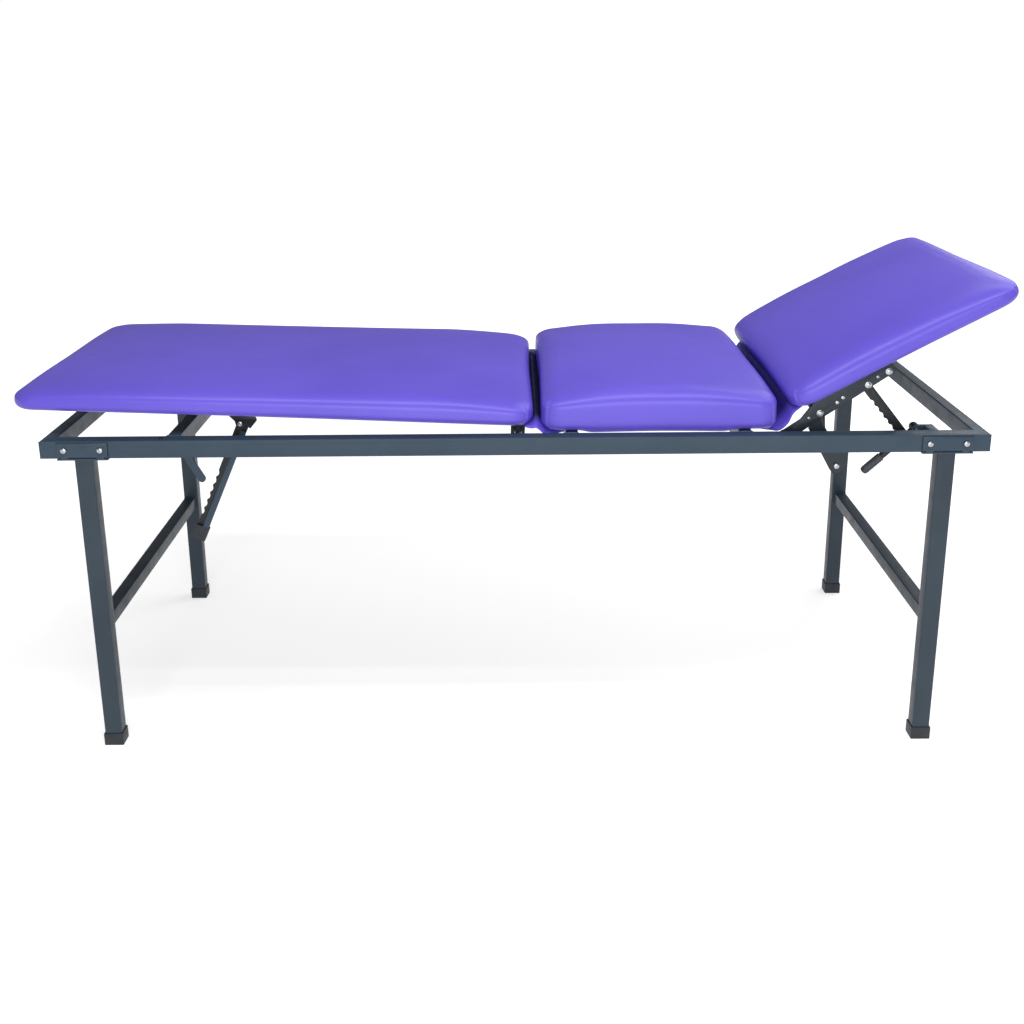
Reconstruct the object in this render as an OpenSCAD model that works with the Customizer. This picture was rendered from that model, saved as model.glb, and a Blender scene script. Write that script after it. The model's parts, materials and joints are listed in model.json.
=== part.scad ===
// Examination couch in three sections: a welded perimeter frame on four bolted legs, with a leg,
// a seat and a head pad. The origin is on the floor under the middle of the couch, +X points to the
// head end, and the front is at -Y.

/* [Frame] */
// Length of the frame over its outer faces
frame_len = 1830; // [1700:5:1950]
// Width of the frame over its outer faces
frame_w = 600; // [560:5:700]
// Height of the top of the rails above the floor
rail_top = 667; // [560:1:800]
// Height of the rectangular rail tube
tube_h = 35; // [34:1:45]
// Width of the rectangular rail tube
tube_w = 25; // [20:1:35]
// Wall of every frame tube
tube_wall = 2; // [1.5:0.5:3]
// Distance from the foot end of the frame to the middle of the cross tube under the leg section
foot_cross_set = 250; // [220:0.5:300]
// Distance from each end of the seat pad to the middle of its cross tube
seat_cross_inset = 60; // [40:1:120]

/* [Legs] */
// Size of a leg tube along the couch
leg_w = 35; // [30:1:50]
// Size of a leg tube across the couch
leg_d = 25; // [20:1:35]
// Distance from the end of the frame to the outer face of a leg
leg_inset = 65; // [45:1:120]
// Height of the top of the stretcher above the floor
stretcher_top = 285; // [150:1:400]
// Height of the stretcher tube
stretcher_h = 30; // [20:1:40]
// Width of the stretcher tube
stretcher_w = 27; // [18:1:29]
// Distance from the outer face of a leg to the stretcher
stretcher_set = 2; // [0:0.5:3]
// Height of a foot cap
cap_h = 27; // [15:1:40]
// Wall of a foot cap
cap_wall = 2; // [1:0.5:4]
// Thickness of the sole of a foot cap
cap_sole = 4; // [2:0.5:8]

/* [Leg brackets] */
// Length of a bracket along the rail
bracket_len = 98; // [90:1:130]
// Thickness of the bracket plate
bracket_t = 3; // [2:0.5:5]
// Distance between the two bolts of a bracket
bolt_spacing = 70; // [50:1:78]
// Diameter of a bracket bolt
bolt_d = 6; // [4:0.5:8]
// Diameter of a bolt head
bolt_head_d = 11; // [9:0.5:14]
// Height of a bolt head
bolt_head_h = 3.5; // [2:0.5:5]
// Width of the rounded tab below each bolt
tab_w = 14; // [12:1:20]

/* [Pads] */
// Distance from the side of the frame to the side of the pads
pad_side_set = 25; // [25:1:50]
// Gap between two pads
pad_gap = 15; // [13:0.5:25]
// How far the leg pad reaches past the foot end of the frame
leg_pad_over = 71; // [10:1:100]
// Length of the head pad
head_pad_len = 486; // [420:1:540]
// Thickness of the seat pad
seat_pad_t = 90; // [80:1:100]
// Thickness of the leg pad next to the seat
leg_pad_t = 65; // [64:1:85]
// How much thinner the leg pad is at its foot end
leg_pad_taper = 14; // [0:1:16]
// Thickness of the head pad next to the seat
head_pad_t = 64; // [62:1:80]
// How much thinner the head pad is at its head end
head_pad_taper = 8; // [0:1:12]
// Corner radius of the pads seen from above
pad_corner = 46; // [40:1:75]
// Radius of the lower edge of the pads
pad_low_r = 17; // [10:1:20]
// Width of the soft upper edge of the pads
pad_edge_w = 46; // [30:1:60]
// Height of the soft upper edge of the pads
pad_edge_h = 32; // [20:1:34]
// Height of the crown of the pads
pad_crown = 9; // [4:0.5:10]
// How far the sides of the pads draw in between the corners
pad_draw = 3; // [1:0.5:6]
// How far the cover draws the top of a pad down at its corners
pad_corner_drop = 14; // [0:1:20]
// Distance over which the top rises again from a corner
pad_corner_reach = 75; // [50:1:110]
// Thickness of the plywood boards
board_t = 12; // [9:1:15]
// Distance from the side of a pad to its board
board_inset = 24; // [20:1:40]

/* [Leg section] */
// Place of the leg hinge, from the middle of the frame
leg_hinge_x = 6; // [-20:1:20]
// Distance of the leg hinge below the top of the rails
leg_hinge_drop = 9; // [8:0.5:12]
// How far the leg pad reaches past its hinge
leg_pad_lap = 30; // [20:1:36]
// Rest angle of the leg section
leg_rest_angle = 2.45; // [0:0.05:4]
// Width of the side bars under the leg board
leg_bar_w = 20; // [15:1:30]
// Height of the side bars under the leg board
leg_bar_h = 10; // [8:1:12]
// Wall of the side bars
leg_bar_wall = 1.5; // [1:0.5:2.5]
// Distance of the side bars from the inner faces of the rails
leg_bar_set = 42; // [30:0.5:50]
// Distance from the foot end of the frame to the ends of the side bars
leg_bar_end = 36; // [30:1:130]
// How far the side bars reach past the hinge
leg_bar_lap = 14; // [10:1:16]
// Diameter of the leg hinge pins
leg_pin_d = 8; // [6:0.5:9]

/* [Foot ratchet] */
// Distance of the ratchet pin from the cross tube, towards the head end
foot_ratchet_ahead = 120; // [100:1:170]
// Distance of the ratchet pin below the side bar
foot_ratchet_drop = 15; // [12:0.5:18]
// Length of the toothed bar from its pin
foot_ratchet_len = 270; // [240:1:320]
// Width of the toothed bar
foot_ratchet_w = 24; // [20:0.5:30]
// Thickness of the toothed bar and of its channel
foot_ratchet_t = 4; // [3:0.5:5]
// Lean of the toothed bar from the vertical
foot_ratchet_lean = 23.6; // [18:0.1:28]
// Distance between two notches
foot_notch_pitch = 18; // [16:0.5:22]
// Distance from the pin to the first notch
foot_notch_start = 122; // [110:1:130]
// Width of the channel on the toothed bar
foot_channel_w = 12; // [8:0.5:14]
// Diameter of the ratchet pins
ratchet_pin_d = 6; // [5:0.5:7]

/* [Head section] */
// Distance of the head hinge from the head end of the frame
head_hinge_end = 385; // [376:1:400]
// Distance of the head hinge from the end of the seat pad
head_hinge_set = 20; // [15:1:30]
// Distance of the head hinge below the top of the rails
head_hinge_drop = 17; // [13:0.5:20]
// Rest angle of the head section
head_rest_angle = 28.45; // [15:0.05:30]
// Distance from the head hinge to the head pad, with the section level
head_pad_set = 39; // [36:1:60]
// Height of the head pad above the rails, with the section level
head_pad_rise = 19; // [16:0.5:25]
// Thickness of the head arms
arm_t = 5; // [4:0.5:6]
// Distance of the head arms from the inner faces of the rails
arm_set = 18; // [16:0.5:24]
// Radius of the eye of a head arm
arm_eye_r = 12; // [10:0.5:14]
// Length of a head arm from its hinge
arm_len = 247; // [240:1:280]
// Width of the flange that carries the head board
arm_flange_w = 22; // [15:1:30]
// Diameter of the head hinge pins
head_pin_d = 10; // [8:0.5:12]
// Diameter of the cross rods between the arms
cross_rod_d = 18; // [14:0.5:20]
// Distance from the head hinge to the lower cross rod
low_rod_reach = 81; // [76:1:90]
// Height of the lower cross rod above the head hinge, with the section level
low_rod_rise = 9; // [8:0.5:10]
// Distance from the head hinge to the upper cross rod
high_rod_reach = 234; // [228:1:236]
// Height of the upper cross rod above the head hinge, with the section level
high_rod_rise = 22; // [20:0.5:23]
// Distance from the head hinge to the middle of the stop plate
stop_set = 63; // [58:0.5:66]
// Width of the stop plate
stop_w = 30; // [24:1:34]
// Distance of the stop bumper below the head hinge
stop_drop = 118; // [90:1:140]
// Radius of the stop bumper
bumper_r = 13.5; // [10:0.5:16]

/* [Head ratchet] */
// Distance of the ratchet pin from the head hinge
head_ratchet_reach = 187.8; // [180:0.1:192]
// Height of the ratchet pin above the head hinge, with the section level
head_ratchet_rise = 16.5; // [15:0.5:18]
// Length of the toothed bar from its pin
head_ratchet_len = 162; // [140:1:170]
// Width of the toothed bar
head_ratchet_w = 19; // [17:0.5:24]
// Thickness of the toothed bar
head_ratchet_t = 5; // [4:0.5:6]
// Lean of the toothed bar from the vertical
head_ratchet_lean = 38.2; // [34:0.1:42]
// Distance between two notches
head_notch_pitch = 16; // [15:0.5:17]
// Distance from the pin to the first notch
head_notch_start = 38; // [34:1:44]

/* [Levers] */
// Distance of the foot lever pin from the middle of the cross tube, towards the foot end
foot_lever_behind = 3; // [0:1:8]
// Distance of the foot lever pin below the cross tube
foot_lever_drop = 12; // [11:0.5:16]
// Length of the handle of the foot lever
foot_lever_len = 74; // [60:1:90]
// Width of the foot lever
foot_lever_w = 15; // [12:0.5:16]
// Angle of the handle of the foot lever below the level
foot_lever_angle = 61.3; // [55:0.1:65]
// Length of the nose of the foot lever
foot_nose_len = 62; // [40:1:66]
// Distance of the head lever pin from the head hinge
head_lever_reach = 264; // [262:1:275]
// Distance of the head lever pin below the top of the rails
head_lever_drop = 10; // [9:0.5:12]
// Length of the head lever
head_lever_len = 134; // [110:1:150]
// Angle of the head lever below the level
head_lever_angle = 43.3; // [40:0.1:46]
// Diameter of the head lever rod
head_lever_d = 13; // [10:0.5:15]
// Diameter of the grip on the head lever
grip_d = 17; // [16:0.5:20]
// Length of the grip on the head lever
grip_len = 46; // [35:1:60]

/* [Hidden] */
$fn = 48;

// Clearances and small common sizes
fit = 0.05;
side_gap = 0.3;
overrun = 1;
nut_h = 5;
nut_d = bolt_d * 1.8;
weld_collar = 3;

// Faces of the frame
half_len = frame_len / 2;
half_w = frame_w / 2;
inner_w = frame_w - 2 * tube_w;
inner_y = inner_w / 2;
rail_low = rail_top - tube_h;

// Places along the couch
seat_x0 = leg_hinge_x + leg_pad_lap + pad_gap;
head_hinge_x = half_len - head_hinge_end;
seat_x1 = head_hinge_x - head_hinge_set;
foot_cross_x = foot_cross_set - half_len;
seat_cross_xs = [seat_x0 + seat_cross_inset, seat_x1 - seat_cross_inset];
leg_x = half_len - leg_inset - leg_w / 2;
leg_hinge_z = rail_top - leg_hinge_drop;
head_hinge_z = rail_top - head_hinge_drop;
head_pad_x = head_hinge_x + head_pad_set;
head_pad_z = rail_top + head_pad_rise;

// Sizes of the pads and of the leg section that follow the frame
pad_w = frame_w - 2 * pad_side_set;
seat_pad_len = seat_x1 - seat_x0;
leg_pad_len = half_len + leg_pad_over + leg_hinge_x + leg_pad_lap;
leg_bar_reach = half_len - leg_bar_end + leg_hinge_x;

// Planes across the couch, as distances from the middle to the outer face of each piece
leg_bar_y = inner_y - leg_bar_set;
arm_y = inner_y - arm_set;
hook_y = leg_bar_y;
hook_t = foot_ratchet_t;
channel_y = hook_y - hook_t - side_gap;
foot_bar_y = channel_y - foot_ratchet_t;
head_bar_y = arm_y - arm_t - side_gap;
foot_lever_t = foot_ratchet_t;
lug_t = foot_ratchet_t;
lug_y = foot_bar_y + lug_t + side_gap;
lever_plate_y = head_bar_y - head_ratchet_t - side_gap;
lever_plate_t = 4;
head_catch_y = lever_plate_y - lever_plate_t - side_gap;
head_catch_t = 4;
head_rod_y = head_catch_y - head_lever_d / 2;

// Turns a point [x, z] about a centre, positive raising the +X side
function turned(p, c, a) = [
    c[0] + (p[0] - c[0]) * cos(a) - (p[1] - c[1]) * sin(a),
    c[1] + (p[0] - c[0]) * sin(a) + (p[1] - c[1]) * cos(a)
];

leg_hinge = [leg_hinge_x, leg_hinge_z];
head_hinge = [head_hinge_x, head_hinge_z];

// Ratchet pins, first with their section level and then at rest
foot_pin_level = [foot_cross_x + foot_ratchet_ahead, rail_top - foot_ratchet_drop];
foot_pin = turned(foot_pin_level, leg_hinge, -leg_rest_angle);
head_pin_level = [head_hinge_x + head_ratchet_reach, head_hinge_z + head_ratchet_rise];
head_pin = turned(head_pin_level, head_hinge, head_rest_angle);

// Lever pins
foot_lever_pivot = [foot_cross_x - foot_lever_behind, rail_low - foot_lever_drop];
head_lever_pivot = [head_hinge_x + head_lever_reach, rail_top - head_lever_drop];

// Colours
frame_colour = "slategray";
leg_colour = "darkslategray";
black_colour = [0.08, 0.09, 0.1];
silver_colour = "silver";
vinyl_colour = [0.42, 0.38, 0.82];
board_colour = [0.16, 0.15, 0.17];

// Stands a flat shape up in the XZ plane: y is its outer face towards the front, t its thickness
module upright(y, t) {
    translate([0, t - y, 0])
        rotate([90, 0, 0])
            linear_extrude(t)
                children();
}

// A pin along Y, from a place near the front inwards
module cross_pin(p, y, length, d) {
    translate([p[0], length - y, p[1]])
        rotate([90, 0, 0])
            cylinder(d = d, h = length);
}

module both_sides() {
    children();
    mirror([0, 1, 0])
        children();
}

module four_corners() {
    for (sx = [0, 1], sy = [0, 1])
        mirror([sx, 0, 0])
            mirror([0, sy, 0])
                children();
}

// The leg section and the head section, turned from level to their rest angles
module leg_section() {
    translate([leg_hinge_x, 0, leg_hinge_z])
        rotate([0, leg_rest_angle, 0])
            translate([-leg_hinge_x, 0, -leg_hinge_z])
                children();
}

module head_section() {
    translate([head_hinge_x, 0, head_hinge_z])
        rotate([0, -head_rest_angle, 0])
            translate([-head_hinge_x, 0, -head_hinge_z])
                children();
}

// Frame tubes

// A rail with mitred ends: its outer face at y = 0, its body towards +Y
module mitred_rail(length) {
    x = length / 2;
    difference() {
        linear_extrude(tube_h)
            polygon([[-x, 0], [x, 0], [x - tube_w, tube_w], [tube_w - x, tube_w]]);
        translate([0, 0, tube_wall])
            linear_extrude(tube_h - 2 * tube_wall)
                polygon([
                    [-x, tube_wall], [x, tube_wall],
                    [x, tube_w - tube_wall], [-x, tube_w - tube_wall]
                ]);
    }
}

module bolt_holes(d) {
    for (sx = [-1, 1])
        for (side = [-1, 1])
            translate([sx * leg_x + side * bolt_spacing / 2, tube_w + overrun, tube_h / 2])
                rotate([90, 0, 0])
                    cylinder(d = d, h = tube_w + 2 * overrun);
}

module long_rail() {
    difference() {
        mitred_rail(frame_len);
        bolt_holes(bolt_d + 2 * fit);
    }
}

module front_rail() {
    color(frame_colour)
        translate([0, -half_w, rail_low])
            long_rail();
}

module back_rail() {
    color(frame_colour)
        mirror([0, 1, 0])
            translate([0, -half_w, rail_low])
                long_rail();
}

module foot_end_rail() {
    color(frame_colour)
        translate([-half_len, 0, rail_low])
            rotate([0, 0, -90])
                mitred_rail(frame_w);
}

module head_end_rail() {
    color(frame_colour)
        translate([half_len, 0, rail_low])
            rotate([0, 0, 90])
                mitred_rail(frame_w);
}

// A rectangular tube along Y, centred on X and Y, its underside at z = 0
module cross_tube(length, w, h, wall) {
    translate([-w / 2, length / 2, 0])
        rotate([90, 0, 0])
            linear_extrude(length)
                difference() {
                    square([w, h]);
                    translate([wall, wall])
                        square([w - 2 * wall, h - 2 * wall]);
                }
}

module foot_cross_tube() {
    color(frame_colour)
        translate([foot_cross_x, 0, rail_low])
            cross_tube(inner_w, tube_w, tube_h, tube_wall);
}

module seat_front_cross_tube() {
    color(frame_colour)
        translate([seat_cross_xs[0], 0, rail_low])
            cross_tube(inner_w, tube_w, tube_h, tube_wall);
}

module seat_back_cross_tube() {
    color(frame_colour)
        translate([seat_cross_xs[1], 0, rail_low])
            cross_tube(inner_w, tube_w, tube_h, tube_wall);
}

// Legs

leg_top = rail_low - bracket_t;

module leg_tube() {
    translate([leg_x - leg_w / 2, -half_w, cap_sole])
        linear_extrude(leg_top - cap_sole)
            difference() {
                square([leg_w, leg_d]);
                translate([tube_wall, tube_wall])
                    square([leg_w - 2 * tube_wall, leg_d - 2 * tube_wall]);
            }
}

module front_foot_leg() {
    color(leg_colour)
        mirror([1, 0, 0])
            leg_tube();
}

module back_foot_leg() {
    color(leg_colour)
        mirror([1, 0, 0])
            mirror([0, 1, 0])
                leg_tube();
}

module front_head_leg() {
    color(leg_colour)
        leg_tube();
}

module back_head_leg() {
    color(leg_colour)
        mirror([0, 1, 0])
            leg_tube();
}

// A saddle bracket: a plate on the rail's face with two rounded tabs, and a flange under the rail
module bracket() {
    plate_h = tube_h - 2 * bracket_t;
    difference() {
        translate([leg_x, -half_w, 0]) {
            translate([-bracket_len / 2, -bracket_t, rail_top - bracket_t - plate_h])
                cube([bracket_len, bracket_t, plate_h]);
            for (side = [-1, 1])
                translate([side * bolt_spacing / 2 - tab_w / 2, -bracket_t, leg_top])
                    cube([tab_w, bracket_t, tube_h - bracket_t]);
            translate([-bracket_len / 2, -bracket_t, leg_top])
                cube([bracket_len, bracket_t + tube_w, bracket_t]);
        }
        translate([0, -half_w, rail_low])
            bolt_holes(bolt_d + 2 * fit);
        translate([0, -half_w - tube_w, rail_low])
            bolt_holes(bolt_d + 2 * fit);
    }
}

module front_foot_bracket() {
    color(frame_colour)
        mirror([1, 0, 0])
            bracket();
}

module back_foot_bracket() {
    color(frame_colour)
        mirror([1, 0, 0])
            mirror([0, 1, 0])
                bracket();
}

module front_head_bracket() {
    color(frame_colour)
        bracket();
}

module back_head_bracket() {
    color(frame_colour)
        mirror([0, 1, 0])
            bracket();
}

module foot_cap() {
    translate([leg_x - leg_w / 2, -half_w, 0])
        difference() {
            translate([-cap_wall, -cap_wall, 0])
                cube([leg_w + 2 * cap_wall, leg_d + 2 * cap_wall, cap_h]);
            translate([0, 0, cap_sole])
                cube([leg_w, leg_d, cap_h]);
        }
}

module foot_caps() {
    color(black_colour)
        four_corners()
            foot_cap();
}

module stretcher() {
    x = leg_x + leg_w / 2 - stretcher_set - stretcher_w / 2;
    translate([x, 0, stretcher_top - stretcher_h])
        cross_tube(frame_w - 2 * leg_d, stretcher_w, stretcher_h, tube_wall);
}

module foot_stretcher() {
    color(leg_colour)
        mirror([1, 0, 0])
            stretcher();
}

module head_stretcher() {
    color(leg_colour)
        stretcher();
}

// A button head: a low dome with a hexagon socket, its flat side at z = 0
module button_head(d, h) {
    socket_d = d * 0.45;
    difference() {
        intersection() {
            cylinder(d = d, h = h);
            translate([0, 0, h - d])
                sphere(r = d);
        }
        translate([0, 0, h / 2])
            cylinder(d = socket_d, h = h, $fn = 6);
    }
}

module leg_bolt() {
    rotate([90, 0, 0])
        button_head(bolt_head_d, bolt_head_h);
    rotate([-90, 0, 0])
        cylinder(d = bolt_d, h = bracket_t + tube_w + nut_h);
}

// The places of the two bolts of a bracket, on the face of its plate
module at_bracket_bolts() {
    for (side = [-1, 1])
        translate([leg_x + side * bolt_spacing / 2, -half_w - bracket_t, rail_low + tube_h / 2])
            children();
}

module leg_bolts() {
    color(silver_colour)
        four_corners()
            at_bracket_bolts()
                leg_bolt();
}

module leg_nuts() {
    color(silver_colour)
        four_corners()
            at_bracket_bolts()
                translate([0, bracket_t + tube_w, 0])
                    rotate([-90, 0, 0])
                        difference() {
                            cylinder(d = nut_d, h = nut_h, $fn = 6);
                            translate([0, 0, -overrun])
                                cylinder(d = bolt_d + 2 * fit, h = nut_h + 2 * overrun);
                        }
}

// Pads

arc_steps = 5;
side_shares = [[0.06, 0.13, 0.22, 0.5, 0.78, 0.87, 0.94], [0.12, 0.28, 0.5, 0.72, 0.88]];
low_step = 30;
edge_step = 22.5;
crown_shares = [0.22, 0.5, 0.78];
min_corner = 8;

function on_arc(c, r, a) = [c[0] + r * cos(a), c[1] + r * sin(a)];

// One ring of a pad, counter-clockwise: a rounded rectangle whose sides draw in a little
function pad_ring(length, inset) =
    let (r = max(pad_corner - inset, min_corner))
    let (cx = length / 2 - inset - r)
    let (cy = pad_w / 2 - inset - r)
    let (centres = [[cx, cy], [-cx, cy], [-cx, -cy], [cx, -cy]])
    [for (corner = [0:3]) each concat(
        [for (i = [0:arc_steps]) on_arc(centres[corner], r, 90 * (corner + i / arc_steps))],
        drawn_side(
            on_arc(centres[corner], r, 90 * (corner + 1)),
            on_arc(centres[(corner + 1) % 4], r, 90 * (corner + 1)),
            side_shares[corner % 2]
        )
    )];

function drawn_side(a, b, shares) =
    let (inward = [a[1] - b[1], b[0] - a[0]] / norm(b - a))
    [for (u = shares) a + (b - a) * u + inward * pad_draw * 4 * u * (1 - u)];

// 1 at the arc of a corner, falling to 0 inside the pad
function corner_closeness(q, length) =
    let (set = pad_corner * (1 - sqrt(1 / 2)))
    let (away = norm([length / 2 - set - abs(q[0]), pad_w / 2 - set - abs(q[1])]))
    exp(-pow(away / pad_corner_reach, 2));

// Inset and height of every ring, from the underside to the crown
function pad_profile(t) =
    let (shoulder = t - pad_crown)
    let (edge_low = shoulder - pad_edge_h)
    let (inner = pad_w / 2 - pad_edge_w)
    concat(
        [for (a = [0:low_step:90]) [pad_low_r * (1 - sin(a)), pad_low_r * (1 - cos(a))]],
        [for (a = [0:edge_step:90]) [pad_edge_w * (1 - cos(a)), edge_low + pad_edge_h * sin(a)]],
        [for (s = crown_shares) [pad_edge_w + inner * s, shoulder + pad_crown * (1 - pow(1 - s, 2))]]
    );

// A pad from x = 0 to its length, its underside at z = 0, thinner by taper at its far end
module pad_body(length, t, taper) {
    profile = pad_profile(t);
    shoulder = t - pad_crown;
    rings = [for (p = profile)
        let (share = min(1, max(0, (p[1] - pad_low_r) / (shoulder - pad_low_r))))
        [for (q = pad_ring(length, p[0]))
            let (drop = taper * (q[0] / length + 1 / 2) + pad_corner_drop * corner_closeness(q, length))
            [q[0] + length / 2, q[1], p[1] - share * drop]]];
    count = len(rings[0]);
    last = len(rings) - 1;
    points = concat(
        [for (ring = rings) each ring],
        [[length / 2, 0, 0], [length / 2, 0, t - taper / 2]]
    );
    sides = [for (i = [0:last - 1], j = [0:count - 1])
        let (k = (j + 1) % count)
        each [
            [i * count + j, (i + 1) * count + k, i * count + k],
            [i * count + j, (i + 1) * count + j, (i + 1) * count + k]
        ]];
    bottom = [for (j = [0:count - 1]) [count * len(rings), j, (j + 1) % count]];
    top = [for (j = [0:count - 1])
        [count * len(rings) + 1, last * count + (j + 1) % count, last * count + j]];
    polyhedron(points = points, faces = concat(sides, bottom, top));
}

// The plywood board inside the underside of a pad
module pad_board(length) {
    r = pad_corner - board_inset;
    x = [board_inset, length - board_inset];
    y = pad_w / 2 - board_inset;
    linear_extrude(board_t) {
        translate([x[0] + r, -y])
            square([x[1] - x[0] - 2 * r, 2 * y]);
        translate([x[0], r - y])
            square([x[1] - x[0], 2 * y - 2 * r]);
        for (px = [x[0] + r, x[1] - r], py = [r - y, y - r])
            translate([px, py])
                circle(r = r);
    }
}

module pad(length, t, taper) {
    difference() {
        pad_body(length, t, taper);
        pad_board(length);
    }
}

module seat_place() {
    translate([seat_x0, 0, rail_top])
        children();
}

module leg_pad_place() {
    leg_section()
        translate([leg_hinge_x + leg_pad_lap, 0, rail_top + leg_bar_h])
            mirror([1, 0, 0])
                children();
}

module head_pad_place() {
    head_section()
        translate([head_pad_x, 0, head_pad_z])
            children();
}

module seat_board() {
    color(board_colour)
        seat_place()
            pad_board(seat_pad_len);
}

module seat_cushion() {
    color(vinyl_colour)
        seat_place()
            pad(seat_pad_len, seat_pad_t, 0);
}

module leg_board() {
    color(board_colour)
        leg_pad_place()
            pad_board(leg_pad_len);
}

module leg_cushion() {
    color(vinyl_colour)
        leg_pad_place()
            pad(leg_pad_len, leg_pad_t, leg_pad_taper);
}

module head_board() {
    color(board_colour)
        head_pad_place()
            pad_board(head_pad_len);
}

module head_cushion() {
    color(vinyl_colour)
        head_pad_place()
            pad(head_pad_len, head_pad_t, head_pad_taper);
}

// Vinyl strips that close the gaps from below, each from a seat cross tube to under the next pad
strip_t = 2;
strip_lap = 22;
strip_room = 8;

module foot_gap_strip() {
    x0 = leg_hinge_x + leg_bar_lap + strip_room;
    x1 = seat_cross_xs[0] - tube_w / 2;
    y = pad_w / 2 - board_inset;
    color(vinyl_colour)
        translate([x0, -y, rail_top - strip_t])
            cube([x1 - x0, 2 * y, strip_t]);
}

module head_gap_strip() {
    x0 = seat_cross_xs[1] + tube_w / 2;
    x1 = seat_x1 + pad_gap * 2 / 3;
    y = arm_y - arm_t - strip_lap;
    color(vinyl_colour)
        translate([x0, -y, rail_top - strip_t])
            cube([x1 - x0, 2 * y, strip_t]);
}

// Leg section

module leg_bar() {
    x0 = leg_hinge_x - leg_bar_reach;
    length = leg_bar_reach + leg_bar_lap;
    translate([x0, -leg_bar_y, rail_top])
        rotate([90, 0, 90])
            linear_extrude(length)
                difference() {
                    square([leg_bar_w, leg_bar_h]);
                    translate([leg_bar_wall, leg_bar_wall])
                        square([leg_bar_w - 2 * leg_bar_wall, leg_bar_h - 2 * leg_bar_wall]);
                }
}

module front_leg_bar() {
    color(frame_colour)
        leg_section()
            leg_bar();
}

module back_leg_bar() {
    color(frame_colour)
        leg_section()
            mirror([0, 1, 0])
                leg_bar();
}

cross_bar_shares = [0.03, 0.5, 0.97];

module leg_cross_bars() {
    length = 2 * (leg_bar_y - leg_bar_w);
    color(frame_colour)
        leg_section()
            for (s = cross_bar_shares)
                translate([leg_hinge_x - leg_bar_reach * s, 0, rail_top])
                    cross_tube(length, leg_bar_w, leg_bar_h, leg_bar_wall);
}

// A block under each side bar, with the bore for its hinge pin
module leg_hinge_block() {
    x0 = leg_hinge_x - leg_bar_lap;
    low = leg_hinge_z - leg_pin_d;
    difference() {
        translate([x0, -leg_bar_y, low])
            cube([2 * leg_bar_lap, leg_bar_w, rail_top - low]);
        cross_pin(leg_hinge, leg_bar_y + overrun, leg_bar_w + 2 * overrun, leg_pin_d + 2 * fit);
    }
}

module leg_hinge_blocks() {
    color(black_colour)
        leg_section()
            both_sides()
                leg_hinge_block();
}

module leg_hinge_pins() {
    color(silver_colour)
        both_sides() {
            cross_pin(leg_hinge, inner_y, leg_bar_set + leg_bar_w, leg_pin_d);
            cross_pin(leg_hinge, inner_y, leg_bar_set - side_gap, leg_pin_d + 2 * weld_collar);
        }
}

// The hook under the front side bar that carries the ratchet pin
hook_shares = [[-0.9, 0], [1.25, 0], [1.38, -0.5], [0.85, -1.65], [0.4, -1.25], [0.3, -1.5],
    [-0.3, -1.5], [-0.45, -0.7]];

module foot_ratchet_hook() {
    w = foot_ratchet_w;
    drop = foot_ratchet_drop;
    color(black_colour)
        leg_section()
            difference() {
                upright(hook_y, hook_t)
                    polygon([for (s = hook_shares) [foot_pin_level[0] + s[0] * w, rail_top + s[1] * drop]]);
                cross_pin(foot_pin_level, hook_y + overrun, hook_t + 2 * overrun, ratchet_pin_d + 2 * fit);
            }
}

module ratchet_pin_shape(p, y, length) {
    translate([p[0], -y, p[1]])
        rotate([90, 0, 0])
            button_head(ratchet_pin_d * 1.6, ratchet_pin_d / 2);
    cross_pin(p, y, length, ratchet_pin_d);
}

module foot_ratchet_pin() {
    color(silver_colour)
        ratchet_pin_shape(foot_pin, hook_y, hook_t + side_gap + 2 * foot_ratchet_t);
}

// Foot ratchet

// A toothed bar that hangs from its pin at [0, 0], its notches on the left edge
module toothed_bar(w, shift, length, start, pitch, notches) {
    notch_r = pitch * 0.62;
    round_r = w * 0.2;
    difference() {
        union() {
            translate([shift - w / 2, round_r - length])
                square([w, length - round_r]);
            translate([shift, 0])
                circle(d = w);
            translate([shift - w / 2 + round_r, -length])
                square([w - 2 * round_r, 2 * round_r]);
            for (side = [-1, 1])
                translate([shift + side * (w / 2 - round_r), round_r - length])
                    circle(r = round_r);
        }
        for (i = [0:notches - 1])
            translate([shift - w / 2 - notch_r * 0.72, -start - i * pitch])
                circle(r = notch_r);
    }
}

foot_notches = 6;
foot_bar_shift = foot_ratchet_w * 0.2;
foot_cap_len = foot_ratchet_w * 1.2;

module foot_bar_place() {
    translate([foot_pin[0], 0, foot_pin[1]])
        rotate([0, foot_ratchet_lean, 0])
            children();
}

module foot_ratchet_bar() {
    color(black_colour)
        foot_bar_place()
            difference() {
                upright(foot_bar_y, foot_ratchet_t)
                    toothed_bar(foot_ratchet_w, foot_bar_shift, foot_ratchet_len, foot_notch_start,
                        foot_notch_pitch, foot_notches);
                cross_pin([0, 0], foot_bar_y + overrun, foot_ratchet_t + 2 * overrun,
                    ratchet_pin_d + 2 * fit);
            }
}

module foot_ratchet_channel() {
    top = foot_ratchet_w / 2 + ratchet_pin_d / 2;
    bottom = foot_ratchet_len - foot_cap_len;
    color(frame_colour)
        foot_bar_place()
            upright(channel_y, foot_ratchet_t)
                translate([foot_bar_shift + foot_ratchet_w / 2 - foot_channel_w, -bottom])
                    square([foot_channel_w, bottom - top]);
}

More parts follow.
